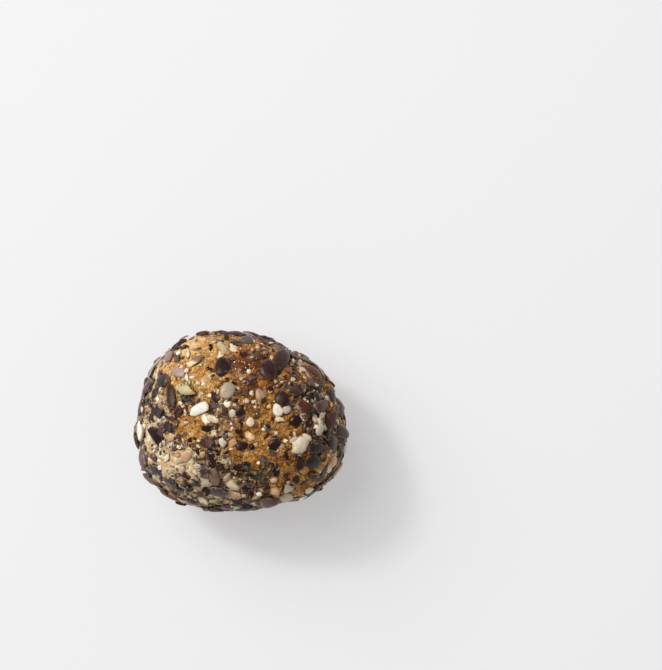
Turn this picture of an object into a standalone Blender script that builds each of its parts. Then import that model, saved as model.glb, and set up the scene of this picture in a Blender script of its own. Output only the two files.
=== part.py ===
"""Kinako ball: a bite-sized ball of roasted soy flour and sesame, pressed by hand, with its larger seeds fused on.

Metres, +Z up, seen from above as eaten. The origin is the middle of the flat spot that the ball rests on.
"""

import math
import random

import bmesh
import bpy
import numpy as np
from mathutils import Matrix, Vector

MM = 0.001

# The bare ball. Its widest level is MIDDLE_HEIGHT above the table.
MEAN_RADIUS = 13.2 * MM
MIDDLE_HEIGHT = 10.9 * MM
RISE_ABOVE = 11.4 * MM
DROP_BELOW = 11.5 * MM
SECTION_POWER = 2.18

# Swells that pressing left in its outline: how many round the ball, height, direction of the first in degrees
OUTLINE_SWELLS = (
    (1, 0.65 * MM, -133),
    (2, 1.15 * MM, -8),
    (3, 0.62 * MM, -20),
    (4, 0.26 * MM, 42),
)

# Relief of the dough: number of waves, wavelength, height of each
LUMPS = (9, 9.0 * MM, 0.085 * MM)
CRAGS = (16, 2.9 * MM, 0.042 * MM)
RELIEF_DRAW = 128

# Core mesh: cuts along each side of the cube that is blown up to the ball
CORE_CUTS = 14

# Seeds: thickness as a share of the width, the share of it that stands out of the dough, and their facets
SEED_THICKNESS = 0.44
SEED_SHOWING = 0.5
SEED_SIDES = 8
TIP_NARROWING = 0.26
SHOULDER_SHARE = 0.66
SHOULDER_HEIGHT = 0.66

# Seeds that show best from above: place from the middle in mm, turn of the tip in degrees, length and width in mm
TOP_SEEDS = (
    (-2.3, 7.4, 84, 2.6, 2.1),
    (3.8, 7.0, 115, 3.0, 2.4),
    (5.5, 8.3, 60, 3.0, 2.4),
    (-9.3, 3.3, 92, 3.3, 1.5),
    (-10.4, 5.5, 50, 1.9, 1.6),
    (-12.4, 4.6, 68, 2.7, 1.5),
    (5.7, 3.1, 100, 2.3, 1.9),
    (7.6, 4.1, 35, 2.5, 1.5),
    (7.5, 0.0, 62, 2.5, 1.9),
    (8.8, 1.9, -14, 2.6, 1.6),
    (11.2, 2.1, 30, 2.3, 1.7),
    (12.3, 0.2, 74, 2.6, 1.8),
    (13.7, -1.6, -22, 2.6, 1.8),
    (12.5, -3.0, 112, 3.0, 1.9),
    (10.5, -1.4, 70, 2.2, 1.4),
    (10.3, -3.6, 8, 2.4, 1.7),
    (9.8, -5.4, 40, 2.2, 2.0),
    (9.6, -7.6, 62, 2.4, 1.8),
    (9.9, -9.4, 36, 2.9, 1.7),
    (-3.8, -4.9, 104, 2.4, 1.5),
    (-4.4, -2.7, -8, 2.5, 1.6),
    (-9.6, -0.9, 20, 1.8, 1.5),
    (-11.1, 1.3, 118, 2.1, 1.6),
    (-11.3, -2.0, 126, 3.2, 1.5),
    (-3.5, -7.3, 118, 2.6, 1.5),
    (-6.6, -8.2, -20, 2.3, 1.7),
    (-3.0, -9.6, -10, 3.0, 1.5),
    (3.9, -11.0, 6, 2.9, 1.5),
    (3.9, -6.3, -6, 2.4, 1.6),
    (-11.4, -6.6, -30, 2.3, 1.6),
    (-13.4, -5.2, 100, 2.8, 1.5),
    (10.1, 6.4, -48, 2.8, 1.5),
    (0.8, 10.9, 10, 2.0, 1.6),
    (-5.4, 1.7, 24, 2.7, 1.5),
    (-1.6, 4.2, 70, 2.3, 2.0),
    (8.3, -2.9, 50, 2.9, 2.2),
    (-13.6, -1.3, 122, 2.2, 1.3),
    (2.8, 3.6, 124, 2.0, 1.4),
    (5.1, 1.6, 116, 1.9, 1.3),
    (-5.8, 8.4, 30, 2.0, 1.4),
    (-2.3, 9.8, 150, 2.1, 1.6),
    (-9.7, 8.7, 70, 1.8, 1.4),
    (-8.2, 6.6, 10, 1.8, 1.4),
    (-4.4, -0.9, -18, 2.0, 1.4),
    (-8.2, 1.2, 60, 1.9, 1.3),
    (-3.3, 3.4, 140, 1.8, 1.2),
    (0.1, 1.4, 88, 1.8, 1.3),
    (2.2, -7.8, 30, 2.9, 2.2),
    (4.7, -3.1, 46, 1.8, 1.4),
    (6.4, -9.0, 80, 2.0, 1.6),
    (10.5, 4.3, 20, 1.8, 1.3),
    (0.3, -3.2, 15, 1.8, 1.3),
    (8.1, -5.6, 96, 2.0, 1.3),
    (-7.2, -4.6, 40, 2.0, 1.4),
)

# Seeds spread by rule over the sides and underneath, largest first: their centres keep SEED_CLEARANCE
# times their mean length apart, and lie below SPREAD_CEILING of the way up
SPREAD_SEEDS = 90
LONGEST_SEED = 3.4 * MM
SHORTEST_SEED = 2.0 * MM
SEED_WIDTH_SHARE = (0.56, 0.74)
SEED_CLEARANCE = 1.05
SPREAD_CEILING = 0.62
SPREAD_TRIES = 600
SPREAD_DRAW = 11

TRIM_SLAB = 40 * MM
DOUGH_COLOUR = (0.39, 0.22, 0.085, 1.0)
DOUGH_ROUGHNESS = 0.75


def clear_scene():
    """Removes every object of the scene that the script runs in."""
    for item in list(bpy.data.objects):
        bpy.data.objects.remove(item)


def relief(points, waves, wavelength, height, draw):
    """Height of a smooth uneven relief at each point: the sum of waves that run in drawn directions."""
    total = np.zeros(len(points))
    for _ in range(waves):
        way = np.array([draw.gauss(0, 1) for _ in range(3)])
        way /= np.linalg.norm(way)
        turns = draw.uniform(0.8, 1.25) / wavelength
        total += height * np.sin(math.tau * (points @ way * turns + draw.random()))
    return total


def bare_points(directions):
    """Points of the smooth ball in the given directions, unit vectors from its middle."""
    azimuth = np.arctan2(directions[:, 1], directions[:, 0])
    level = np.hypot(directions[:, 0], directions[:, 1])
    outline = np.full(len(directions), MEAN_RADIUS)
    for count, height, first in OUTLINE_SWELLS:
        outline += height * np.cos(count * (azimuth - math.radians(first)))
    rise = np.where(directions[:, 2] > 0, RISE_ABOVE, DROP_BELOW)
    across = (level / outline) ** SECTION_POWER
    upward = (np.abs(directions[:, 2]) / rise) ** SECTION_POWER
    reach = (across + upward) ** (-1 / SECTION_POWER)
    return directions * reach[:, None]


def ball_points(directions):
    """Points of the uneven ball, from its middle, in the given directions."""
    smooth = bare_points(directions)
    draw = random.Random(RELIEF_DRAW)
    height = relief(smooth, *LUMPS, draw) + relief(smooth, *CRAGS, draw)
    return smooth + directions * height[:, None]


def surface_at(direction):
    """Point above the table, and outward normal, of the uneven ball in one direction from its middle."""
    aside = direction.orthogonal().normalized()
    other = direction.cross(aside)
    step = 0.09
    around = [direction, direction + aside * step, direction + other * step]
    around += [direction - aside * step, direction - other * step]
    found = [Vector(p) for p in ball_points(np.array([list(d.normalized()) for d in around]))]
    normal = (found[1] - found[3]).cross(found[2] - found[4]).normalized()
    if normal.dot(direction) < 0:
        normal.negate()
    return found[0] + Vector((0, 0, MIDDLE_HEIGHT)), normal


def direction_under(x, y):
    """Direction from the ball's middle to the place on its top that shows at x, y from above."""
    azimuth, wanted = math.atan2(y, x), math.hypot(x, y)
    low, high = 0.0, math.pi / 2
    for _ in range(24):
        tilt = (low + high) / 2
        way = np.array([[math.cos(tilt) * math.cos(azimuth), math.cos(tilt) * math.sin(azimuth), math.sin(tilt)]])
        reach = math.hypot(*ball_points(way)[0][:2])
        low, high = (tilt, high) if reach > wanted else (low, tilt)
    return Vector(way[0])


def top_seeds():
    """The seeds that show best from above, each as its direction, turn, length and width."""
    for x, y, turn, length, width in TOP_SEEDS:
        yield direction_under(x * MM, y * MM), math.radians(turn), length * MM, width * MM


def spread_seeds(taken):
    """Seeds spread over the sides and underneath, clear of those taken, each as top_seeds gives it."""
    draw = random.Random(SPREAD_DRAW)
    for rank in range(SPREAD_SEEDS):
        share = rank / (SPREAD_SEEDS - 1)
        length = LONGEST_SEED + (SHORTEST_SEED - LONGEST_SEED) * share
        width = length * draw.uniform(*SEED_WIDTH_SHARE)
        for _ in range(SPREAD_TRIES):
            way = Vector([draw.gauss(0, 1) for _ in range(3)]).normalized()
            turn = draw.uniform(0, math.tau)
            if way.z > SPREAD_CEILING:
                continue
            spot = way * MEAN_RADIUS
            gaps = [(spot - other).length - SEED_CLEARANCE * (length + size) / 2 for other, size in taken]
            if min(gaps) > 0:
                taken.append((spot, length))
                yield way, turn, length, width
                break


def seed_mesh(length, width):
    """A flat seed that narrows to its tip at +X, with low shoulders and a blunt top."""
    mesh = bpy.data.meshes.new("seed")
    shape = bmesh.new()
    thickness = width * SEED_THICKNESS
    rings = []
    for share, height in ((1.0, 0.0), (SHOULDER_SHARE, SHOULDER_HEIGHT)):
        ring = []
        for side in range(SEED_SIDES):
            angle = math.tau * side / SEED_SIDES
            along, across = math.cos(angle), math.sin(angle)
            across *= 1 - TIP_NARROWING * along
            place = (along * share * length / 2, across * share * width / 2, height * thickness / 2)
            ring.append(shape.verts.new(place))
        rings.append(ring)
    top = shape.verts.new((0, 0, thickness / 2))
    bottom = shape.verts.new((0, 0, -thickness / 2))
    rim, shoulder = rings
    for side in range(SEED_SIDES):
        after = (side + 1) % SEED_SIDES
        shape.faces.new((rim[side], rim[after], shoulder[after], shoulder[side]))
        shape.faces.new((shoulder[side], shoulder[after], top))
        shape.faces.new((rim[after], rim[side], bottom))
    bmesh.ops.triangulate(shape, faces=shape.faces)
    shape.to_mesh(mesh)
    shape.free()
    return mesh


def place_seed(collection, way, turn, length, width):
    """Lays one seed on the ball, sunk so that a share of its thickness stands out."""
    spot, normal = surface_at(way)
    along = Vector((math.cos(turn), math.sin(turn), 0))
    along -= normal * along.dot(normal)
    along = along.normalized() if along.length > 0.2 else normal.orthogonal().normalized()
    frame = Matrix((along, normal.cross(along), normal)).transposed().to_4x4()
    thickness = width * SEED_THICKNESS
    sunk = spot - normal * thickness * (0.5 - SEED_SHOWING)
    seed = bpy.data.objects.new("seed", seed_mesh(length, width))
    seed.matrix_world = Matrix.Translation(sunk) @ frame
    collection.objects.link(seed)


def core_object(material):
    """The dough alone: a cube with even cuts, blown up to the uneven ball."""
    mesh = bpy.data.meshes.new("kinako_ball")
    shape = bmesh.new()
    bmesh.ops.create_cube(shape, size=2)
    bmesh.ops.subdivide_edges(shape, edges=shape.edges, cuts=CORE_CUTS, use_grid_fill=True)
    places = np.array([list(v.co) for v in shape.verts])
    evened = np.tan(places * math.pi / 4)
    directions = evened / np.linalg.norm(evened, axis=1)[:, None]
    for vertex, place in zip(shape.verts, ball_points(directions)):
        vertex.co = Vector(place) + Vector((0, 0, MIDDLE_HEIGHT))
    bmesh.ops.triangulate(shape, faces=shape.faces)
    shape.to_mesh(mesh)
    shape.free()
    mesh.materials.append(material)
    ball = bpy.data.objects.new("kinako_ball", mesh)
    bpy.context.scene.collection.objects.link(ball)
    return ball


def apply_boolean(ball, operation, **operand):
    """Adds one Boolean modifier to the ball and applies it."""
    step = ball.modifiers.new(operation.lower(), "BOOLEAN")
    step.operation = operation
    for name, value in operand.items():
        setattr(step, name, value)
    graph = bpy.context.evaluated_depsgraph_get()
    joined = bpy.data.meshes.new_from_object(ball.evaluated_get(graph))
    ball.modifiers.clear()
    ball.data = joined


def fuse_seeds(ball):
    """Joins the seeds to the dough with one union, and removes the loose ones."""
    seeds = bpy.data.collections.new("seeds")
    bpy.context.scene.collection.children.link(seeds)
    laid = list(top_seeds())
    taken = [(way * MEAN_RADIUS, length) for way, _, length, _ in laid]
    laid += list(spread_seeds(taken))
    for seed in laid:
        place_seed(seeds, *seed)
    apply_boolean(ball, "UNION", operand_type="COLLECTION", collection=seeds)
    for seed in list(seeds.objects):
        bpy.data.objects.remove(seed)
    bpy.data.collections.remove(seeds)


def trim_flat(ball):
    """Cuts the underside level with the table, which leaves the spot that the ball rests on."""
    mesh = bpy.data.meshes.new("slab")
    shape = bmesh.new()
    bmesh.ops.create_cube(shape, size=TRIM_SLAB)
    shape.to_mesh(mesh)
    shape.free()
    slab = bpy.data.objects.new("slab", mesh)
    slab.location.z = -TRIM_SLAB / 2
    bpy.context.scene.collection.objects.link(slab)
    apply_boolean(ball, "DIFFERENCE", operand_type="OBJECT", object=slab)
    bpy.data.objects.remove(slab)


def dough_material():
    """Roasted soy flour dough: dull golden brown."""
    material = bpy.data.materials.new("kinako_dough")
    material.use_nodes = True
    shader = material.node_tree.nodes["Principled BSDF"]
    shader.inputs["Base Color"].default_value = DOUGH_COLOUR
    shader.inputs["Roughness"].default_value = DOUGH_ROUGHNESS
    shader.inputs["Metallic"].default_value = 0.0
    return material


def main():
    """Builds the ball as one solid."""
    clear_scene()
    ball = core_object(dough_material())
    fuse_seeds(ball)
    trim_flat(ball)
    print("triangles:", sum(len(face.vertices) - 2 for face in ball.data.polygons))


main()
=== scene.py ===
"""A kinako ball as it looks: roasted soy flour dough, pressed by hand and full of black and white sesame.

Lengths are in millimetres until a mesh is written, and +Z is up. The origin is the middle of the flat spot
that the ball rests on. Directions are unit vectors from the middle of the ball.
"""

import logging
import math
import random
from collections.abc import Sequence
from dataclasses import dataclass, field, replace
from enum import Enum

import bpy
import numpy as np
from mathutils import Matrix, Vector, kdtree, noise


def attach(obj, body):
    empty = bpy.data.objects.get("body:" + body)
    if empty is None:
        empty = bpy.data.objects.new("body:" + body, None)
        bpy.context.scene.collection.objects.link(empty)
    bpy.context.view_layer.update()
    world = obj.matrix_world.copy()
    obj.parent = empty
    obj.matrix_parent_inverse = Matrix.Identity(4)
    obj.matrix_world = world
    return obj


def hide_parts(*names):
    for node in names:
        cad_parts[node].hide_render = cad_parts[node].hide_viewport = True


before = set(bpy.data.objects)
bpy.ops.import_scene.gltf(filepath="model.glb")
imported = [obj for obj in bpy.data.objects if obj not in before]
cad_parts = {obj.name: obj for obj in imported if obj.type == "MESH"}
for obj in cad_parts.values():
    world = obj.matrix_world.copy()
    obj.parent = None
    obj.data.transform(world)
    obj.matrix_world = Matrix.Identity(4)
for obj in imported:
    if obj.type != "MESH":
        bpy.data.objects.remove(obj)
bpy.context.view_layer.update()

LOG = logging.getLogger("kinako_ball")
MM = 0.001
NODE = "kinako_ball"
BAKE_MAP = "OFBake"

PHOTO_WIDTH, PHOTO_HEIGHT = 662, 670
PHOTO_PX_PER_MM = 7.24
BALL_MIDDLE_PX = (241.5, 420.0)

# A colour as seen on screen: red, green and blue, 0 to 255
Tone = tuple[int, int, int]


def linear(red: float, green: float, blue: float) -> tuple[float, float, float, float]:
    """Turns a colour as seen on screen into the light that a shader takes.

    Args:
        red: Red, 0 to 255.
        green: Green, 0 to 255.
        blue: Blue, 0 to 255.

    Returns:
        The colour in linear light, with an alpha of 1.
    """
    shares = (c / 255 for c in (red, green, blue))
    light = (c / 12.92 if c <= 0.04045 else ((c + 0.055) / 1.055) ** 2.4 for c in shares)
    return (*light, 1.0)


def unit(rows: np.ndarray) -> np.ndarray:
    """Scales each row to a length of 1."""
    return rows / np.linalg.norm(rows, axis=1)[:, None]


def eased(low: float, high: float, values: np.ndarray) -> np.ndarray:
    """Rises smoothly from 0 at low to 1 at high."""
    share = np.clip((values - low) / (high - low), 0, 1)
    return share * share * (3 - 2 * share)


class Skin(Enum):
    """What a seed or fragment is covered in, as its colour on screen."""

    SLATE = (43, 34, 38)
    CHARCOAL = (39, 20, 20)
    UMBER = (56, 30, 23)
    MOSSY = (46, 36, 27)
    BROWN = (76, 40, 28)
    RED = (106, 64, 46)
    COCOA = (128, 94, 74)
    MAUVE = (86, 65, 65)
    PINK = (132, 112, 104)
    WHITE = (238, 235, 221)
    IVORY = (206, 198, 179)
    CREAM = (216, 194, 160)
    GLASSY = (189, 176, 154)
    TAN = (182, 150, 112)
    HAZEL = (168, 132, 102)
    AMBER = (178, 132, 76)
    LEMON = (220, 178, 96)
    GREEN = (190, 188, 148)


# The skins whose fragments crumble and never split into slabs
PALE_SKINS = (Skin.WHITE, Skin.IVORY, Skin.CREAM, Skin.GLASSY, Skin.TAN, Skin.AMBER)


class Cut(Enum):
    """The shape of a piece: its corners, power of a round outline, narrowing, bend and unevenness."""

    WHOLE = (0, 2.0, 0.26, 0.0, 0.05)
    ROUND = (0, 2.2, 0.08, 0.0, 0.06)
    BEAN = (0, 3.2, -0.1, 0.12, 0.1)
    SLAB = (4, 0.0, 0.0, 0.0, 0.34)
    WEDGE = (3, 0.0, 0.0, 0.0, 0.2)
    BROKEN = (6, 0.0, 0.0, 0.0, 0.45)
    JAGGED = (12, 0.0, 0.0, 0.0, 0.3)
    SPLIT = (8, 0.0, 0.0, 0.0, 0.5)
    RAGGED = (12, 0.0, 0.0, 0.0, 0.46)
    CRUSHED = (6, 0.0, 0.0, 0.0, 0.6)


@dataclass(frozen=True)
class Group:
    """Pieces of one skin and cut, read from above: x, y, turn, length, width and any lift."""

    skin: Skin
    cut: Cut
    rows: tuple[tuple[float, ...], ...]


# The seeds that the solid has too
SOLID_SEEDS = (
    Group(Skin.CHARCOAL, Cut.WHOLE, (
        (10.5, -1.4, 70, 2.2, 1.4), (10.3, -3.6, 8, 2.4, 1.7), (9.9, -9.4, 36, 2.9, 1.7),
        (12.5, -3.0, 112, 3.0, 1.9), (0.1, 1.4, 88, 1.8, 1.3), (0.3, -3.2, 15, 1.8, 1.3),
        (8.1, -5.6, 96, 2.0, 1.3),
    )),
    Group(Skin.CHARCOAL, Cut.ROUND, (
        (-2.3, 7.4, 84, 2.6, 2.1, 0.1), (3.8, 7.0, 115, 3.0, 2.4, 0.06), (4.7, -3.1, 46, 1.8, 1.4),
        (5.7, 3.1, 100, 2.3, 1.9),
    )),
    Group(Skin.CHARCOAL, Cut.SLAB, (
        (7.5, 0.0, 62, 2.5, 1.9), (-3.8, -4.9, 104, 2.3, 1.2, 0.12), (-11.3, -2.0, 126, 3.2, 1.4, 0.12),
        (-4.4, -0.9, -18, 2.0, 1.2, 0.08), (10.5, 4.3, 20, 1.8, 1.3), (-8.2, 1.2, 60, 1.9, 1.3),
    )),
    Group(Skin.UMBER, Cut.ROUND, ((5.5, 8.3, 60, 3.0, 2.4), (13.7, -1.6, -22, 2.6, 1.8))),
    Group(Skin.BROWN, Cut.WHOLE, (
        (8.8, 1.9, -14, 2.6, 1.6), (11.2, 2.1, 30, 2.3, 1.7), (12.3, 0.2, 74, 2.6, 1.8),
        (10.1, 6.4, -48, 2.8, 1.5),
    )),
    Group(Skin.SLATE, Cut.ROUND, ((-10.4, 5.5, 50, 1.9, 1.6, 0.12),)),
    Group(Skin.MOSSY, Cut.ROUND, ((9.8, -5.4, 40, 2.2, 2.0),)),
    Group(Skin.MOSSY, Cut.CRUSHED, ((3.9, -6.3, -6, 2.4, 1.6), (2.2, -7.8, 30, 2.9, 2.2))),
    Group(Skin.UMBER, Cut.BEAN, ((7.6, 4.1, 35, 2.5, 1.5),)),
    Group(Skin.SLATE, Cut.WEDGE, ((9.6, -7.6, 62, 2.4, 1.8, 0.12),)),
    Group(Skin.SLATE, Cut.SLAB, (
        (-9.6, -0.9, 20, 1.8, 1.5, 0.1), (-11.1, 1.3, 118, 2.1, 1.6, 0.08),
        (-11.4, -6.6, -30, 2.3, 1.6, 0.1), (-6.6, -8.2, -20, 2.3, 1.7, 0.12),
    )),
    Group(Skin.MAUVE, Cut.WHOLE, (
        (-3.0, -9.6, -10, 3.0, 1.5), (3.9, -11.0, 6, 2.9, 1.5), (-13.4, -5.2, 100, 2.8, 1.5),
        (0.8, 10.9, 10, 2.0, 1.6),
    )),
    Group(Skin.PINK, Cut.ROUND, ((-8.2, 6.6, 10, 1.8, 1.4),)),
    Group(Skin.COCOA, Cut.WHOLE, ((-3.5, -7.3, 118, 2.6, 1.5, 0.06), (-5.8, 8.4, 28, 1.9, 1.0))),
    Group(Skin.MAUVE, Cut.WHOLE, ((-12.4, 4.6, 68, 2.7, 1.5, 0.12),)),
    Group(Skin.BROWN, Cut.SLAB, ((-4.4, -2.7, -8, 2.5, 1.5, 0.08),)),
    Group(Skin.UMBER, Cut.WHOLE, ((-3.3, 3.4, 140, 1.8, 1.2),)),
    Group(Skin.UMBER, Cut.ROUND, ((-9.3, 3.3, 92, 3.4, 1.35, 0.14),)),
    Group(Skin.WHITE, Cut.BEAN, ((-5.4, 1.7, 24, 2.7, 1.5),)),
    Group(Skin.IVORY, Cut.WHOLE, ((5.1, 1.6, 116, 1.9, 1.3),)),
    Group(Skin.WHITE, Cut.JAGGED, ((-13.6, -1.3, 122, 2.4, 1.5),)),
    Group(Skin.CREAM, Cut.RAGGED, ((-2.3, 9.8, 150, 2.1, 1.6),)),
    Group(Skin.IVORY, Cut.JAGGED, ((8.0, -3.2, 50, 2.5, 2.1, 0.16),)),
    Group(Skin.IVORY, Cut.SPLIT, ((6.4, -9.0, 80, 2.1, 1.5, 0.2),)),
    Group(Skin.GLASSY, Cut.ROUND, ((-1.6, 4.2, 70, 2.3, 2.0),)),
    Group(Skin.HAZEL, Cut.WHOLE, ((2.8, 3.6, 124, 2.0, 1.4),)),
    Group(Skin.HAZEL, Cut.ROUND, ((-7.2, -4.6, 40, 2.0, 1.4, -0.05),)),
    Group(Skin.PINK, Cut.ROUND, ((-9.7, 8.7, 70, 1.8, 1.4),)),
)

# The skins of those spread seeds that show from above, by their rank from the longest, and None where
# dough covers one
SPREAD_SKINS = {
    4: Skin.CHARCOAL, 6: Skin.SLATE, 7: Skin.MAUVE, 8: Skin.MAUVE, 11: Skin.PINK, 12: None, 19: Skin.MAUVE,
    31: Skin.MAUVE, 35: None, 39: Skin.CHARCOAL, 42: Skin.UMBER, 45: Skin.SLATE, 46: Skin.CHARCOAL,
    53: Skin.CHARCOAL, 60: Skin.MAUVE, 63: Skin.TAN, 68: Skin.MAUVE, 80: Skin.BROWN,
}

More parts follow.
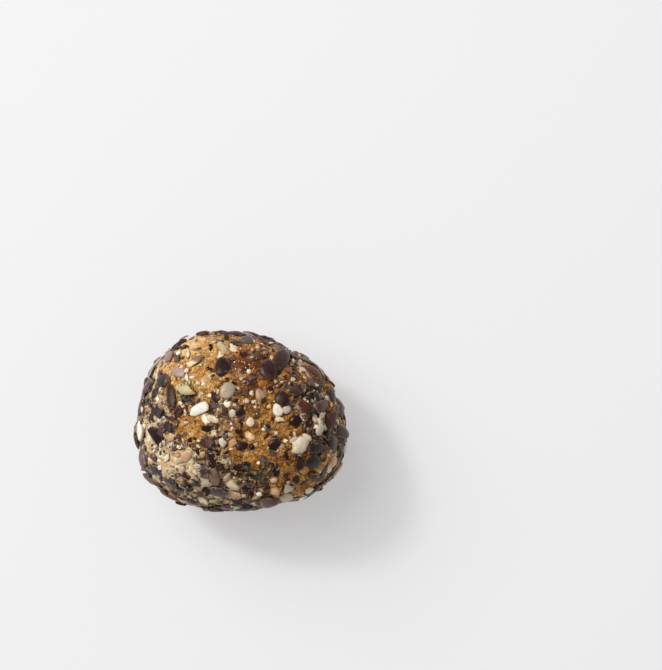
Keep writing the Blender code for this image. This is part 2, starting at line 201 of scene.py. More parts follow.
# Smaller seeds and fragments between them
SMALL_PIECES = (
    Group(Skin.CHARCOAL, Cut.BROKEN, (
        (-0.1, -1.2, 80, 1.2, 1.0), (1.7, -3.4, 80, 1.1, 0.9), (-2.4, -2.2, 0, 1.3, 0.8),
        (-7.4, 10.0, 10, 0.9, 0.7), (-8.7, 9.9, 40, 1.2, 0.6), (-4.0, 10.0, 120, 1.0, 0.7),
        (-2.7, 10.8, 30, 1.0, 0.7), (-1.9, 11.4, 100, 1.0, 0.8), (-3.5, 11.8, 0, 1.5, 0.4),
        (-0.7, 11.7, -8, 1.9, 0.5), (0.5, 9.0, 10, 1.0, 0.6), (0.6, 6.8, 70, 0.8, 0.6),
        (7.2, 7.3, 60, 0.8, 0.7), (-12.0, 2.1, 40, 0.9, 0.8), (-12.6, 2.6, 60, 1.2, 0.7),
        (-6.7, -2.5, 70, 0.8, 0.7), (-10.7, -2.4, 60, 0.9, 0.6), (-13.0, -4.0, 70, 1.0, 0.5),
        (-14.3, -2.0, 80, 1.6, 0.7), (-5.7, -3.9, 100, 1.3, 0.6), (3.6, -2.0, 45, 1.2, 0.5),
        (6.3, -4.5, 110, 1.2, 0.7), (0.9, -9.0, 10, 1.3, 0.9), (3.5, -10.0, 20, 1.1, 0.6),
        (1.5, -10.0, 60, 1.0, 0.8), (9.0, -0.3, 10, 1.2, 1.0), (-7.4, 3.0, 20, 1.5, 1.0),
        (-6.4, 3.3, 60, 0.9, 0.6), (-4.0, 7.1, -35, 1.4, 0.5), (-3.6, 6.2, 50, 0.6, 0.4),
        (-0.7, 5.2, -30, 1.1, 0.5), (-2.8, 4.7, 60, 0.8, 0.5), (11.8, -2.0, 70, 1.8, 1.2),
        (3.5, -9.0, 0, 1.2, 1.0), (1.4, -7.0, 80, 1.2, 0.9), (4.9, -6.9, 30, 1.3, 0.9),
        (-0.2, -7.1, 10, 0.9, 0.6), (7.9, 9.3, -35, 1.6, 0.7),
    )),
    Group(Skin.UMBER, Cut.BROKEN, (
        (2.7, 10.6, 10, 1.3, 0.8), (3.0, 9.2, 40, 1.2, 0.8), (-8.5, -2.0, 10, 1.2, 0.7),
        (-1.6, -6.6, 10, 1.5, 0.9), (4.5, 0.4, 60, 0.8, 0.5), (-7.5, -7.3, 0, 1.2, 0.8),
        (-2.9, -8.4, 30, 1.0, 0.8), (6.0, 5.9, 20, 0.9, 0.6), (9.8, -1.9, 40, 1.2, 1.0),
        (0.2, -4.7, 60, 0.6, 0.5), (-0.5, 2.9, 20, 1.1, 0.8), (-9.0, 0.3, -15, 1.7, 0.9),
        (-10.6, -8.2, -40, 1.4, 0.8),
    )),
    Group(Skin.SLATE, Cut.BROKEN, (
        (12.3, 3.5, 110, 1.3, 1.0), (5.3, 6.6, 10, 0.8, 0.6), (4.1, 4.5, -30, 1.1, 0.7),
        (7.6, -8.0, 70, 1.3, 1.1), (0.9, -5.9, 10, 1.6, 0.9), (3.8, -0.6, -50, 0.8, 0.5),
        (-9.0, -8.5, -60, 1.9, 1.0), (-7.0, -9.2, -15, 1.5, 0.9), (-8.1, -9.5, 70, 1.3, 1.0),
        (-4.5, -9.4, -10, 1.8, 1.0), (-0.5, -11.0, 0, 1.9, 1.1), (-1.8, -4.1, 10, 0.9, 0.5),
        (-11.7, -1.3, 20, 1.2, 1.0), (4.4, -6.0, 0, 1.6, 0.7), (-12.6, -7.4, -60, 1.5, 0.8),
    )),
    Group(Skin.MAUVE, Cut.SLAB, (
        (-4.7, -6.3, -35, 1.7, 1.0), (-11.7, -5.0, -50, 1.6, 0.8), (-8.6, 8.5, 60, 1.3, 0.8),
        (11.0, -8.0, 70, 1.3, 1.0), (7.9, -6.4, 70, 1.0, 0.6), (-1.0, 8.5, 15, 1.4, 0.6),
        (-3.2, 2.1, 20, 1.4, 1.1), (2.4, 8.9, 15, 1.2, 0.6), (6.2, 5.0, 60, 0.8, 0.6),
        (10.9, 5.0, -20, 1.2, 0.6),
    )),
    Group(Skin.IVORY, Cut.SPLIT, (
        (8.9, -2.2, 20, 1.7, 1.3, 0.2), (-2.3, -2.7, 120, 1.4, 1.2, 0.25),
        (11.9, -6.6, 110, 1.3, 1.0, 0.15), (9.2, -9.4, 30, 1.5, 0.9, 0.25),
    )),
    Group(Skin.IVORY, Cut.JAGGED, ((7.3, -2.5, 30, 1.2, 0.9), (10.6, -1.1, 60, 1.7, 1.1, 0.3))),
    Group(Skin.GLASSY, Cut.JAGGED, ((6.2, -10.4, 20, 1.9, 1.7, 0.1), (-5.7, -6.0, 0, 1.1, 0.8, 0.1))),
    Group(Skin.UMBER, Cut.SLAB, ((3.2, 2.9, 30, 1.1, 0.7, 0.2),)),
    Group(Skin.IVORY, Cut.RAGGED, (
        (4.9, -1.5, 30, 0.8, 0.8), (-1.8, -5.3, 62, 1.1, 0.5), (7.4, -1.7, 90, 0.8, 0.5),
        (11.0, 0.7, 50, 1.2, 0.8, 0.2), (11.7, 3.1, 120, 0.9, 0.8), (1.6, 10.9, 80, 0.9, 0.8),
        (-7.1, 9.1, 85, 1.5, 0.6), (-8.4, 9.2, 40, 0.9, 0.8), (-2.5, 5.7, 120, 0.8, 0.4),
        (1.6, 3.9, 60, 0.8, 0.8), (1.0, 2.8, 100, 1.0, 0.7), (1.2, 6.8, 40, 0.8, 0.7),
        (-10.9, -6.3, 60, 0.8, 0.8), (-6.1, -9.5, 50, 0.9, 0.7), (-5.3, -6.2, 60, 0.6, 0.5),
        (-7.1, -10.3, 20, 1.0, 0.5), (1.8, -11.3, 110, 1.1, 0.8), (2.5, -9.9, 10, 0.9, 0.7),
        (-13.3, 1.5, 100, 1.3, 0.9), (6.6, 5.1, 50, 0.9, 0.4), (8.3, 7.0, -40, 1.2, 1.0),
        (7.2, 8.7, 20, 0.9, 0.8), (-6.4, 6.0, 15, 1.0, 0.5), (-7.2, 5.9, 110, 1.1, 0.6),
        (-12.1, 7.2, 55, 1.4, 0.5), (-0.6, -11.9, 0, 1.0, 0.5), (-11.4, -2.0, -45, 1.0, 0.25),
    )),
    Group(Skin.IVORY, Cut.ROUND, ((6.3, 1.6, 20, 1.3, 1.1, 0.1),)),
    Group(Skin.CREAM, Cut.RAGGED, (
        (-2.6, 8.9, 80, 1.7, 1.0), (-0.9, 9.9, -35, 1.6, 0.9), (7.1, 8.0, 70, 1.2, 0.9),
        (6.1, -2.6, 15, 1.0, 0.6), (-6.5, 7.8, 20, 2.0, 0.8, 0.08), (10.5, 6.9, -45, 1.3, 0.6),
        (-1.1, -8.6, 10, 2.2, 1.5, -0.02), (-11.9, -2.9, -50, 1.1, 0.8), (-12.2, -5.4, -60, 1.2, 0.7),
        (-3.3, -10.2, -20, 1.0, 0.6), (3.1, -10.7, 10, 1.7, 0.6), (0.3, -10.2, 10, 1.4, 0.6),
        (10.4, 4.8, -10, 1.2, 0.5), (12.9, -4.5, 60, 1.0, 0.8), (-9.7, -9.4, -30, 1.0, 0.8),
        (-9.9, -4.9, 70, 1.4, 1.0, -0.04), (-10.4, -8.4, -40, 0.9, 0.5),
    )),
    Group(Skin.GLASSY, Cut.RAGGED, (
        (-7.9, -5.2, 20, 1.6, 1.1, -0.06), (-7.7, -6.4, 80, 1.0, 0.8), (-4.4, -8.2, -15, 2.5, 1.3, -0.02),
        (-6.2, -7.6, -40, 1.3, 0.8), (-9.3, -6.6, 40, 1.3, 0.9, -0.05),
    )),
    Group(Skin.MAUVE, Cut.SLAB, (
        (-7.4, -7.3, 0, 1.0, 0.7), (-8.65, -7.4, 30, 0.9, 0.6), (-11.5, -8.7, -40, 1.3, 0.6),
        (-8.8, -3.7, 30, 1.0, 0.8), (-8.4, -4.6, 60, 0.7, 0.5), (-10.7, -1.4, -50, 1.4, 1.0),
        (-7.5, -10.5, 0, 1.1, 0.9), (-12.7, -4.9, 110, 1.4, 0.6), (-5.6, -8.1, 0, 0.6, 0.5, 0.06),
    )),
    Group(Skin.GLASSY, Cut.ROUND, (
        (1.45, 0.0, 70, 1.25, 1.2, 0.1), (-0.9, 1.2, 40, 1.4, 1.1), (-1.6, 2.5, 70, 1.2, 1.0),
        (-3.6, 0.4, -25, 1.9, 1.0), (4.6, -7.9, 20, 1.1, 0.8),
    )),
    Group(Skin.GLASSY, Cut.RAGGED, (
        (-5.3, 3.8, 30, 1.3, 0.7), (-9.8, 8.0, 20, 0.9, 0.6), (12.0, -4.7, -10, 1.0, 0.5),
        (-7.2, 6.9, 40, 0.9, 0.6), (-6.2, -7.5, -45, 1.1, 0.6), (0.2, 5.8, 70, 0.8, 0.6),
        (-6.0, 9.9, 10, 1.6, 0.7), (-8.0, 7.4, 60, 0.9, 0.6),
    )),
    Group(Skin.TAN, Cut.RAGGED, (
        (5.5, -3.4, 40, 1.6, 0.9), (4.7, -9.6, 40, 1.6, 1.3), (-9.2, -2.0, 60, 1.4, 1.1),
        (-8.4, -4.6, 40, 0.8, 0.7), (2.2, -3.1, 20, 1.0, 0.8), (-5.0, -4.4, 60, 1.2, 1.0),
        (2.9, -9.2, 0, 1.0, 0.8),
    )),
    Group(Skin.RED, Cut.SLAB, ((0.7, 4.2, 90, 1.6, 1.1),)),
    Group(Skin.AMBER, Cut.RAGGED, (
        (8.7, -6.6, 60, 1.7, 1.3), (3.4, 9.3, 30, 1.3, 0.9), (7.2, -10.9, 30, 1.5, 1.1),
    )),
    Group(Skin.LEMON, Cut.BROKEN, ((4.0, 2.1, 80, 1.0, 0.9, -0.05), (4.4, 8.6, -50, 1.2, 0.6, -0.05))),
    Group(Skin.GREEN, Cut.RAGGED, ((-7.2, 4.3, -15, 2.5, 1.4, 0.2), (-6.9, 5.2, 60, 1.1, 0.7, 0.1))),
)


# Where gold crumb lies bare from above, as x, y and how far across
BARE = (
    (-6.0, 11.0, 2.6), (-4.2, 9.2, 2.4), (-5.0, 7.0, 3.0), (-4.2, 5.0, 2.8), (-0.4, 9.3, 2.0),
    (1.2, 8.2, 1.6), (6.2, 6.0, 2.2), (7.6, 5.8, 1.8), (2.4, -0.8, 3.0), (3.6, 0.6, 1.6), (-5.8, -0.3, 2.2),
    (3.5, -4.4, 3.2), (1.2, -4.3, 2.2), (-1.0, -4.6, 2.0), (-4.6, 3.0, 1.2), (5.4, -5.0, 1.8),
    (-2.2, -0.6, 2.0), (10.6, -6.0, 2.0), (-8.4, -4.2, 1.6), (-9.2, -5.8, 2.4), (-2.8, 3.6, 1.2),
    (8.0, -9.9, 1.8),
)


@dataclass(frozen=True)
class Swell:
    """One swell that pressing left in the outline: how many go round, height, direction of the first."""

    count: int
    height: float
    first: float


@dataclass(frozen=True)
class Waves:
    """A relief of waves that run in drawn directions: how many, their wavelength and the height of each."""

    count: int
    length: float
    height: float


@dataclass
class Form:
    """The bare ball, as the solid has it, down to the underside that it rests on."""

    mean_radius: float = 13.2
    middle_height: float = 10.9
    rise: float = 11.4
    drop: float = 11.5
    power: float = 2.18
    swells: tuple[Swell, ...] = (
        Swell(1, 0.65, -133),
        Swell(2, 1.15, -8),
        Swell(3, 0.62, -20),
        Swell(4, 0.26, 42),
    )
    reliefs: tuple[Waves, ...] = (Waves(9, 9.0, 0.085), Waves(16, 2.9, 0.042))
    draw: int = 128
    sit_gap: float = 0.1
    step: float = 0.07
    halvings: int = 24

    def relief(self, points: np.ndarray) -> np.ndarray:
        """Sums the waves of the lumps and crags.

        Args:
            points: Places on the smooth ball, from its middle.

        Returns:
            The height of the relief at each place.
        """
        draw = random.Random(self.draw)
        total = np.zeros(len(points))
        for waves in self.reliefs:
            for _ in range(waves.count):
                way = np.array([draw.gauss(0, 1) for _ in range(3)])
                way /= np.linalg.norm(way)
                turns = draw.uniform(0.8, 1.25) / waves.length
                total += waves.height * np.sin(math.tau * (points @ way * turns + draw.random()))
        return total

    def points(self, directions: np.ndarray) -> np.ndarray:
        """Finds the dough's surface, above the table.

        Args:
            directions: Unit vectors from the middle of the ball.

        Returns:
            A place on the surface in each direction.
        """
        azimuth = np.arctan2(directions[:, 1], directions[:, 0])
        outline = np.full(len(directions), self.mean_radius)
        for swell in self.swells:
            outline += swell.height * np.cos(swell.count * (azimuth - math.radians(swell.first)))
        level = np.hypot(directions[:, 0], directions[:, 1])
        upright = np.where(directions[:, 2] > 0, self.rise, self.drop)
        sum_of_powers = (level / outline) ** self.power + (np.abs(directions[:, 2]) / upright) ** self.power
        reach = sum_of_powers ** (-1 / self.power)
        reach += self.relief(directions * reach[:, None])
        down = np.maximum(-directions[:, 2], 1e-6)
        reach = np.minimum(reach, (self.middle_height - self.sit_gap) / down)
        return directions * reach[:, None] + (0, 0, self.middle_height)

    def seats(self, directions: np.ndarray) -> tuple[np.ndarray, np.ndarray]:
        """Finds where something laid on the ball sits, and which way is outward there.

        Args:
            directions: Unit vectors from the middle of the ball.

        Returns:
            The places, and the outward normals.
        """
        aside = unit(np.cross(directions, (0.31, 0.17, 0.93)))
        other = np.cross(directions, aside)
        around = [self.points(unit(directions + way * self.step)) for way in (aside, other, -aside, -other)]
        normals = unit(np.cross(around[0] - around[2], around[1] - around[3]))
        normals *= np.sign(np.sum(normals * directions, axis=1))[:, None]
        return self.points(directions), normals

    def under(self, x: float, y: float) -> np.ndarray:
        """Finds the direction of a place on the top.

        Args:
            x: The place as seen from above, to the right of the middle.
            y: The same, towards the top of the photograph.

        Returns:
            The unit vector towards it from the middle of the ball.
        """
        azimuth, wanted = math.atan2(y, x), math.hypot(x, y)
        low, high = 0.0, math.pi / 2
        way = np.zeros((1, 3))
        for _ in range(self.halvings):
            tilt = (low + high) / 2
            way[0] = (math.cos(tilt) * math.cos(azimuth), math.cos(tilt) * math.sin(azimuth), math.sin(tilt))
            far = math.hypot(*self.points(way)[0][:2]) > wanted
            low, high = (tilt, high) if far else (low, tilt)
        return way[0].copy()


@dataclass(frozen=True)
class Patch:
    """A stretch of the top where gold crumb prevails, or with a gain below 0 where fragments do."""

    x: float
    y: float
    radius: float
    gain: float


@dataclass
class GoldField:
    """How much gold crumb shows at each place, from 0 where dark and cream fragments crowd to 1."""

    form: Form
    patches: tuple[Patch, ...] = (
        Patch(-1.5, 8.5, 4.5, 0.8),
        Patch(1.5, 4.5, 4.0, 0.6),
        Patch(3.5, -0.8, 4.5, 0.9),
        Patch(0.8, -3.8, 3.2, 0.9),
        Patch(-10.6, 7.3, 1.6, 0.8),
        Patch(7.0, 5.5, 2.5, 0.4),
        Patch(11.2, -6.8, 2.6, 0.9),
        Patch(-7.0, 9.3, 3.0, 0.5),
        Patch(-6.6, 11.8, 1.6, -0.8),
        Patch(-5.0, 5.6, 2.2, 0.5),
        Patch(8.0, -10.5, 2.6, 0.5),
        Patch(-5.5, -0.2, 2.2, 0.5),
        Patch(-8.9, 6.4, 1.8, 0.8),
        Patch(-11.8, -1.5, 4.0, -0.7),
        Patch(-8.5, -8.0, 5.0, -1.0),
        Patch(-12.0, -7.0, 2.6, -0.8),
        Patch(-13.2, -4.0, 2.6, -0.6),
        Patch(-12.0, 6.0, 2.8, -0.8),
        Patch(0.0, -12.4, 3.5, -0.5),
        Patch(11.0, -1.5, 4.0, 0.35),
        Patch(-1.0, -10.5, 4.5, -0.9),
        Patch(-6.0, -4.0, 2.6, -0.1),
        Patch(-6.8, -1.8, 2.4, 0.4),
        Patch(12.0, 2.5, 4.0, 0.35),
    )
    pale_patches: tuple[Patch, ...] = (
        Patch(-8.9, -5.2, 2.6, 0.75),
        Patch(-5.2, -8.2, 1.8, 0.65),
        Patch(-0.7, -9.1, 1.5, 0.6),
        Patch(-7.2, 10.2, 2.8, 0.8),
        Patch(-11.8, 7.0, 3.0, 0.8),
        Patch(-6.4, 11.5, 1.8, 0.5),
        Patch(11.3, -6.5, 2.4, 0.6),
        Patch(-11.5, -7.8, 2.6, 0.4),
        Patch(-6.9, -6.2, 1.6, 0.45),
        Patch(-9.6, -8.2, 2.6, 0.2),
        Patch(-2.5, -10.8, 2.2, 0.5),
        Patch(-12.6, -3.0, 2.4, 0.6),
        Patch(-5.0, 5.7, 2.2, 0.6),
        Patch(6.2, -10.6, 1.4, 0.6),
        Patch(-3.0, 9.8, 2.0, 0.4),
        Patch(2.2, 6.6, 4.0, -0.55),
        # The next two darken the dough on the right side: painted shade
        Patch(9.0, 4.5, 4.0, -0.45),
        Patch(11.5, -1.5, 4.0, -0.5),
        Patch(0.2, 8.0, 2.0, -0.3),
        Patch(-10.5, 1.5, 3.2, 0.3),
        Patch(0.9, -4.1, 3.2, 0.3),
    )
    slow: Waves = Waves(7, 15.0, 0.2)
    draw: int = 21

    def with_patches(
        self, share: np.ndarray, patches: Sequence[Patch], directions: np.ndarray
    ) -> np.ndarray:
        """Adds what patches give to a share.

        Args:
            share: The share in each direction, which is changed.
            patches: The patches.
            directions: Unit vectors from the middle of the ball.

        Returns:
            The share.
        """
        for patch in patches:
            middle = self.form.under(patch.x, patch.y)
            apart = np.linalg.norm(directions - middle, axis=1) * self.form.mean_radius
            share += patch.gain * np.exp(-((apart / patch.radius) ** 2))
        return share

    def pale(self, directions: np.ndarray) -> np.ndarray:
        """Works out how cream the dough is, or below 0 how much darker it is; on the right side that
        darkening is painted shade.

        Args:
            directions: Unit vectors from the middle of the ball.

        Returns:
            The share of cream in each direction, -1 to 1.
        """
        share = np.clip(0.35 - directions[:, 2] * 0.5, 0, 0.3)
        return np.clip(self.with_patches(share, self.pale_patches, directions), -1, 1)

    def at(self, directions: np.ndarray) -> np.ndarray:
        """Works out the share of gold.

        Args:
            directions: Unit vectors from the middle of the ball.

        Returns:
            The share in each direction, 0 to 1.
        """
        draw = random.Random(self.draw)
        share = np.full(len(directions), 0.5)
        for _ in range(self.slow.count):
            way = np.array([draw.gauss(0, 1) for _ in range(3)])
            way *= draw.uniform(0.7, 1.3) * self.form.mean_radius / self.slow.length / np.linalg.norm(way)
            share += self.slow.height * np.sin(math.tau * (directions @ way + draw.random()))
        return np.clip(self.with_patches(share, self.patches, directions), 0, 1)


@dataclass
class Lying:
    """Things that lie on the ball, one row each: direction, turn, length, width, colour, cut and lift."""

    directions: np.ndarray
    turns: np.ndarray
    lengths: np.ndarray
    widths: np.ndarray
    colours: np.ndarray
    cuts: np.ndarray
    lifts: np.ndarray

    def __len__(self) -> int:
        """Counts the things."""
        return len(self.turns)

    def where(self, mask: np.ndarray) -> "Lying":
        """Keeps the rows of a mask."""
        kept = (self.directions, self.turns, self.lengths, self.widths, self.colours, self.cuts, self.lifts)
        return Lying(*(part[mask] for part in kept))


@dataclass
class Item:
    """One seed or fragment: where it lies and what it is."""

    direction: np.ndarray
    turn: float
    length: float
    width: float
    skin: Skin
    cut: Cut
    lift: float = 0.0

    def is_whole(self) -> bool:
        """Tells whether it is a whole seed and not a broken piece of one."""
        return self.cut in (Cut.WHOLE, Cut.ROUND, Cut.BEAN, Cut.JAGGED, Cut.SPLIT)


def laid(items: Sequence[Item], draw: random.Random) -> Lying:
    """Turns items into arrays, and gives each its own shade.

    Args:
        items: The items.
        draw: Where the shades are drawn from.

    Returns:
        The arrays.
    """
    shades = []
    for item in items:
        lift, warm = math.exp(draw.gauss(0, 0.16)), draw.gauss(0, 0.05)
        red, green, blue, _ = linear(*item.skin.value)
        shades.append((red * lift * (1 + warm), green * lift, blue * lift * (1 - warm)))
    return Lying(
        np.array([item.direction for item in items]),
        np.array([item.turn for item in items]),
        np.array([item.length for item in items]),
        np.array([item.width for item in items]),
        np.array(shades),
        np.array([item.cut.value for item in items]),
        np.array([item.lift for item in items]),
    )


class Ledger:
    """The places that are taken on the ball, so that what is laid later keeps clear."""

    def __init__(self, radius: float, most: int) -> None:
        """Starts with nothing taken.

        Args:
            radius: The radius of the sphere on which distances are measured.
            most: The most places that it will hold.
        """
        self.radius = radius
        self.spots = np.zeros((most, 3))
        self.sizes = np.zeros(most)
        self.count = 0

    def take(self, direction: np.ndarray, size: float) -> None:
        """Marks a place as taken.

        Args:
            direction: The place.
            size: The size across of what lies there.
        """
        self.spots[self.count] = direction * self.radius
        self.sizes[self.count] = size
        self.count += 1

    def free(self, direction: np.ndarray, size: float, clearance: float) -> bool:
        """Tells whether something fits.

        Args:
            direction: Its place.
            size: Its size across.
            clearance: The share of the mean size by which middles keep apart.

        Returns:
            True if nothing taken lies too near.
        """
        apart = np.linalg.norm(self.spots[: self.count] - direction * self.radius, axis=1)
        return bool((apart > clearance * (size + self.sizes[: self.count]) / 2).all())


@dataclass(frozen=True)
class Cluster:
    """A place on the top where a crushed seed left many flecks, and how high they heap in the middle."""

    x: float
    y: float
    radius: float
    count: int
    tones: tuple[Tone, ...]
    rise: float = 0.12


HULL_FLECKS = ((30, 28, 24), (48, 44, 34), (62, 56, 46), (30, 28, 24), (150, 140, 110))
MOSS_FLECKS = (
    (40, 37, 30), (58, 52, 40), (36, 30, 26), (78, 72, 42),
    (50, 42, 36), (32, 28, 26), (84, 66, 42), (124, 114, 62),
)
CRUSHED = (
    Cluster(2.0, -7.9, 1.35, 120, MOSS_FLECKS, 0.42),
    Cluster(0.8, -7.0, 0.8, 26, MOSS_FLECKS, 0.2),
    Cluster(3.9, -6.3, 1.1, 70, MOSS_FLECKS, 0.36),
    Cluster(0.8, -6.1, 0.9, 18, HULL_FLECKS),
    Cluster(-7.2, 3.2, 1.1, 40, HULL_FLECKS),
    Cluster(-7.0, 4.9, 0.9, 16, ((160, 150, 104), (206, 190, 140), (96, 92, 60))),
    Cluster(-8.1, -2.8, 1.0, 36, ((34, 24, 26), (96, 60, 50), (226, 204, 170), (70, 40, 36))),
    Cluster(-11.0, -3.4, 1.2, 30, ((34, 28, 28), (190, 176, 150), (76, 62, 58))),
    Cluster(2.6, 9.2, 1.2, 34, ((58, 30, 20), (100, 58, 34), (196, 150, 110), (40, 28, 24))),
    Cluster(10.7, -0.6, 0.8, 36, ((222, 208, 178), (196, 180, 144), (128, 108, 78))),
    Cluster(8.6, 8.6, 1.2, 30, ((206, 186, 150), (34, 28, 26), (150, 130, 96))),
    Cluster(-1.4, -6.7, 0.8, 16, ((70, 42, 30), (40, 26, 22), (120, 84, 54))),
    Cluster(-8.6, 9.7, 1.0, 30, HULL_FLECKS),
    Cluster(5.5, 5.2, 0.8, 14, ((206, 196, 184), (90, 70, 66), (150, 120, 90))),
)


@dataclass(frozen=True)
class Peel:
    """A thin flake that peels off: where, its turn from level, length, width, lift and colour."""

    azimuth: float
    elevation: float
    turn: float
    length: float
    width: float
    lift: float
    tone: Tone


# Thin hulls along the outline, and one brown flake that stands off
PEELING = (
    Peel(125.5, 10, 55, 2.2, 1.1, 0.6, (128, 92, 66)),
    Peel(146, 10, 0, 3.8, 1.2, 0.3, (150, 144, 142)),
    Peel(137, 16, 4, 2.2, 0.9, 0.24, (108, 98, 96)),
    Peel(163, 15, -5, 3.0, 1.4, 0.22, (104, 80, 74)),
    Peel(207, 12, 6, 2.6, 1.3, 0.14, (86, 70, 70)),
    Peel(221, 9, -4, 2.6, 1.1, 0.1, (66, 56, 54)),
    Peel(234, 8, 3, 2.4, 1.1, 0.12, (206, 188, 156)),
    Peel(247, 12, -3, 2.6, 1.2, 0.22, (52, 42, 40)),
    Peel(263, 9, 5, 2.4, 1.2, 0.22, (64, 50, 48)),
    Peel(58, 14, 2, 3.2, 1.3, 0.24, (46, 33, 30)),
    Peel(43, 12, -4, 3.0, 1.2, 0.24, (58, 42, 36)),
    Peel(31, 9, 3, 2.6, 0.9, 0.28, (190, 160, 120)),
    Peel(-33, 10, 0, 2.8, 1.2, 0.24, (72, 58, 52)),
    Peel(-47, 8, 4, 2.2, 1.0, 0.24, (56, 44, 40)),
)


@dataclass(frozen=True)
class Filling:
    """A draw of seeds or fragments for the gaps: how many, their lengths, and how they keep apart.

    The ceiling is how far up they lie, and shyness how far they keep off bare gold and cream.
    """

    count: int
    lengths: tuple[float, float]
    clearance: float
    ceiling: float
    shyness: float
    seed: int


@dataclass
class Layout:
    """Lays every seed and fragment out, largest first."""

    form: Form
    gold: GoldField
    solid_spread: int = 90
    solid_lengths: tuple[float, float] = (3.4, 2.0)
    solid_width_share: tuple[float, float] = (0.56, 0.74)
    solid_clearance: float = 1.05
    solid_ceiling: float = 0.62
    solid_tries: int = 600
    solid_draw: int = 11
    steepest: float = 0.66
    proud: float = 0.12
    light_seeds: float = 0.16
    light_shards: float = 0.3
    lighter_on_cream: float = 0.4
    cooler_on_cream: float = 1.5
    gaps_on_cream: float = 0.85
    grit_gaps_on_cream: float = 0.95
    shard_width_share: tuple[float, float] = (0.5, 0.85)
    grit_width_share: tuple[float, float] = (0.55, 0.95)
    most_places: int = 6000
    skin_draw: int = 3
    small_seeds: Filling = Filling(120, (2.2, 1.3), 0.9, 0.3, 0.7, 17)
    large_shards: Filling = Filling(600, (2.0, 0.9), 0.72, 1.0, 0.97, 29)
    small_shards: Filling = Filling(1300, (1.0, 0.35), 0.66, 1.0, 0.96, 31)
    ledger: Ledger = field(init=False)

    def __post_init__(self) -> None:
        """Opens the ledger of taken places."""
        self.ledger = Ledger(self.form.mean_radius, self.most_places)

    def some_skin(
        self, draw: random.Random, light: float, gold: float = 0.0, pale: float = 0.0
    ) -> Skin:
        """Draws the skin of a seed or fragment.

        Args:
            draw: Where it is drawn from.
            light: The share of pale ones where the dough isn't cream.
            gold: The share of gold crumb there: softer tones lie in it, dark ones where there is none.
            pale: The share of cream there: more pale ones lie in it.

        Returns:
            The skin.
        """
        dark = (Skin.CHARCOAL, Skin.CHARCOAL, Skin.SLATE, Skin.UMBER, Skin.BROWN, Skin.MAUVE, Skin.MAUVE)
        cool = (Skin.MAUVE, Skin.MAUVE, Skin.COCOA, Skin.PINK, Skin.SLATE, Skin.UMBER)
        soft = (Skin.UMBER, Skin.BROWN, Skin.RED, Skin.COCOA, Skin.TAN, Skin.MAUVE, Skin.CHARCOAL)
        glassy = (Skin.GLASSY, Skin.GLASSY, Skin.GLASSY)
        bright = (Skin.IVORY, Skin.CREAM, Skin.CREAM, *glassy, Skin.TAN, Skin.PINK)
        if draw.random() < light + self.lighter_on_cream * pale:
            return draw.choice(bright)
        if draw.random() < self.cooler_on_cream * pale:
            return draw.choice(cool)
        return draw.choice(soft if draw.random() < gold else dark)

    def read(self, groups: Sequence[Group]) -> list[Item]:
        """Lays what was read from above.

        Args:
            groups: The seeds and fragments.

        Returns:
            The items.
        """
        items = []
        for group in groups:
            for x, y, turn, length, width, *lift in group.rows:
                way = self.form.under(x, y)
                self.ledger.take(way, math.sqrt(length * width) if group in SMALL_PIECES else length)
                raised = lift[0] if lift else self.proud if group.cut in (Cut.BEAN, Cut.JAGGED) else 0.0
                size = self.unshortened(way, turn, length, width)
                items.append(Item(way, *size, group.skin, group.cut, raised))
        return items

    def unshortened(
        self, way: np.ndarray, turn: float, length: float, width: float
    ) -> tuple[float, float, float]:
        """Finds how large something is on the slope where it lies, from how it looks from above.

        Args:
            way: Its direction.
            turn: Its turn from above, in degrees.
            length: Its length from above.
            width: Its width from above.

        Returns:
            Its turn in radians, length and width there.
        """
        normal = self.form.seats(way[None])[1][0]
        normal = Vector((normal[0], normal[1], max(normal[2], self.steepest))).normalized()
        along, across = math.cos(math.radians(turn)), math.sin(math.radians(turn))
        axes = np.array([(along * length, across * length, 0.0), (-across * width, along * width, 0.0)])
        axes[:, 2] = -(axes[:, :2] @ np.array(normal[:2])) / normal.z
        ways, sizes, _ = np.linalg.svd(axes.T, full_matrices=False)
        long = Vector(ways[:, 0]) * (1 if ways[:, 0] @ axes[0] > 0 else -1)
        level = long - normal * (long.z / normal.z)
        return math.atan2(level.y, level.x), float(sizes[0]), float(sizes[1])

    def everything(self) -> list[Item]:
        """Lays out the seeds and fragments: those read from the top, those of the solid, and more between.

        Returns:
            The items.
        """
        items = self.read(SOLID_SEEDS)
        items += self.spread()
        items += self.read(SMALL_PIECES)
        for x, y, size in BARE:
            self.ledger.take(self.form.under(x, y), size)
        items += self.fill(self.small_seeds, (Cut.WHOLE, Cut.WHOLE, Cut.ROUND))
        items += self.fill(self.large_shards, (Cut.BROKEN, Cut.SLAB, Cut.BROKEN))
        items += self.fill(self.small_shards, (Cut.BROKEN, Cut.BROKEN, Cut.SLAB))
        return items

    def spread(self) -> list[Item]:
        """Lays out the seeds that the solid spreads over its sides and underside, by the solid's own rule.

        Returns:
            The items.
        """
        items, skins = [], random.Random(self.skin_draw)
        draw = random.Random(self.solid_draw)
        longest, shortest = self.solid_lengths
        for rank in range(self.solid_spread):
            length = longest + (shortest - longest) * rank / (self.solid_spread - 1)
            width = length * draw.uniform(*self.solid_width_share)
            for _ in range(self.solid_tries):
                way = Vector([draw.gauss(0, 1) for _ in range(3)]).normalized()
                turn = draw.uniform(0, math.tau)
                if way.z > self.solid_ceiling:
                    continue
                if self.ledger.free(np.array(way), length, self.solid_clearance):
                    self.ledger.take(np.array(way), length)
                    skin = SPREAD_SKINS.get(rank, self.some_skin(skins, self.light_seeds))
                    if skin:
                        items.append(Item(np.array(way), turn, length, width, skin, Cut.WHOLE))
                    break
        return items

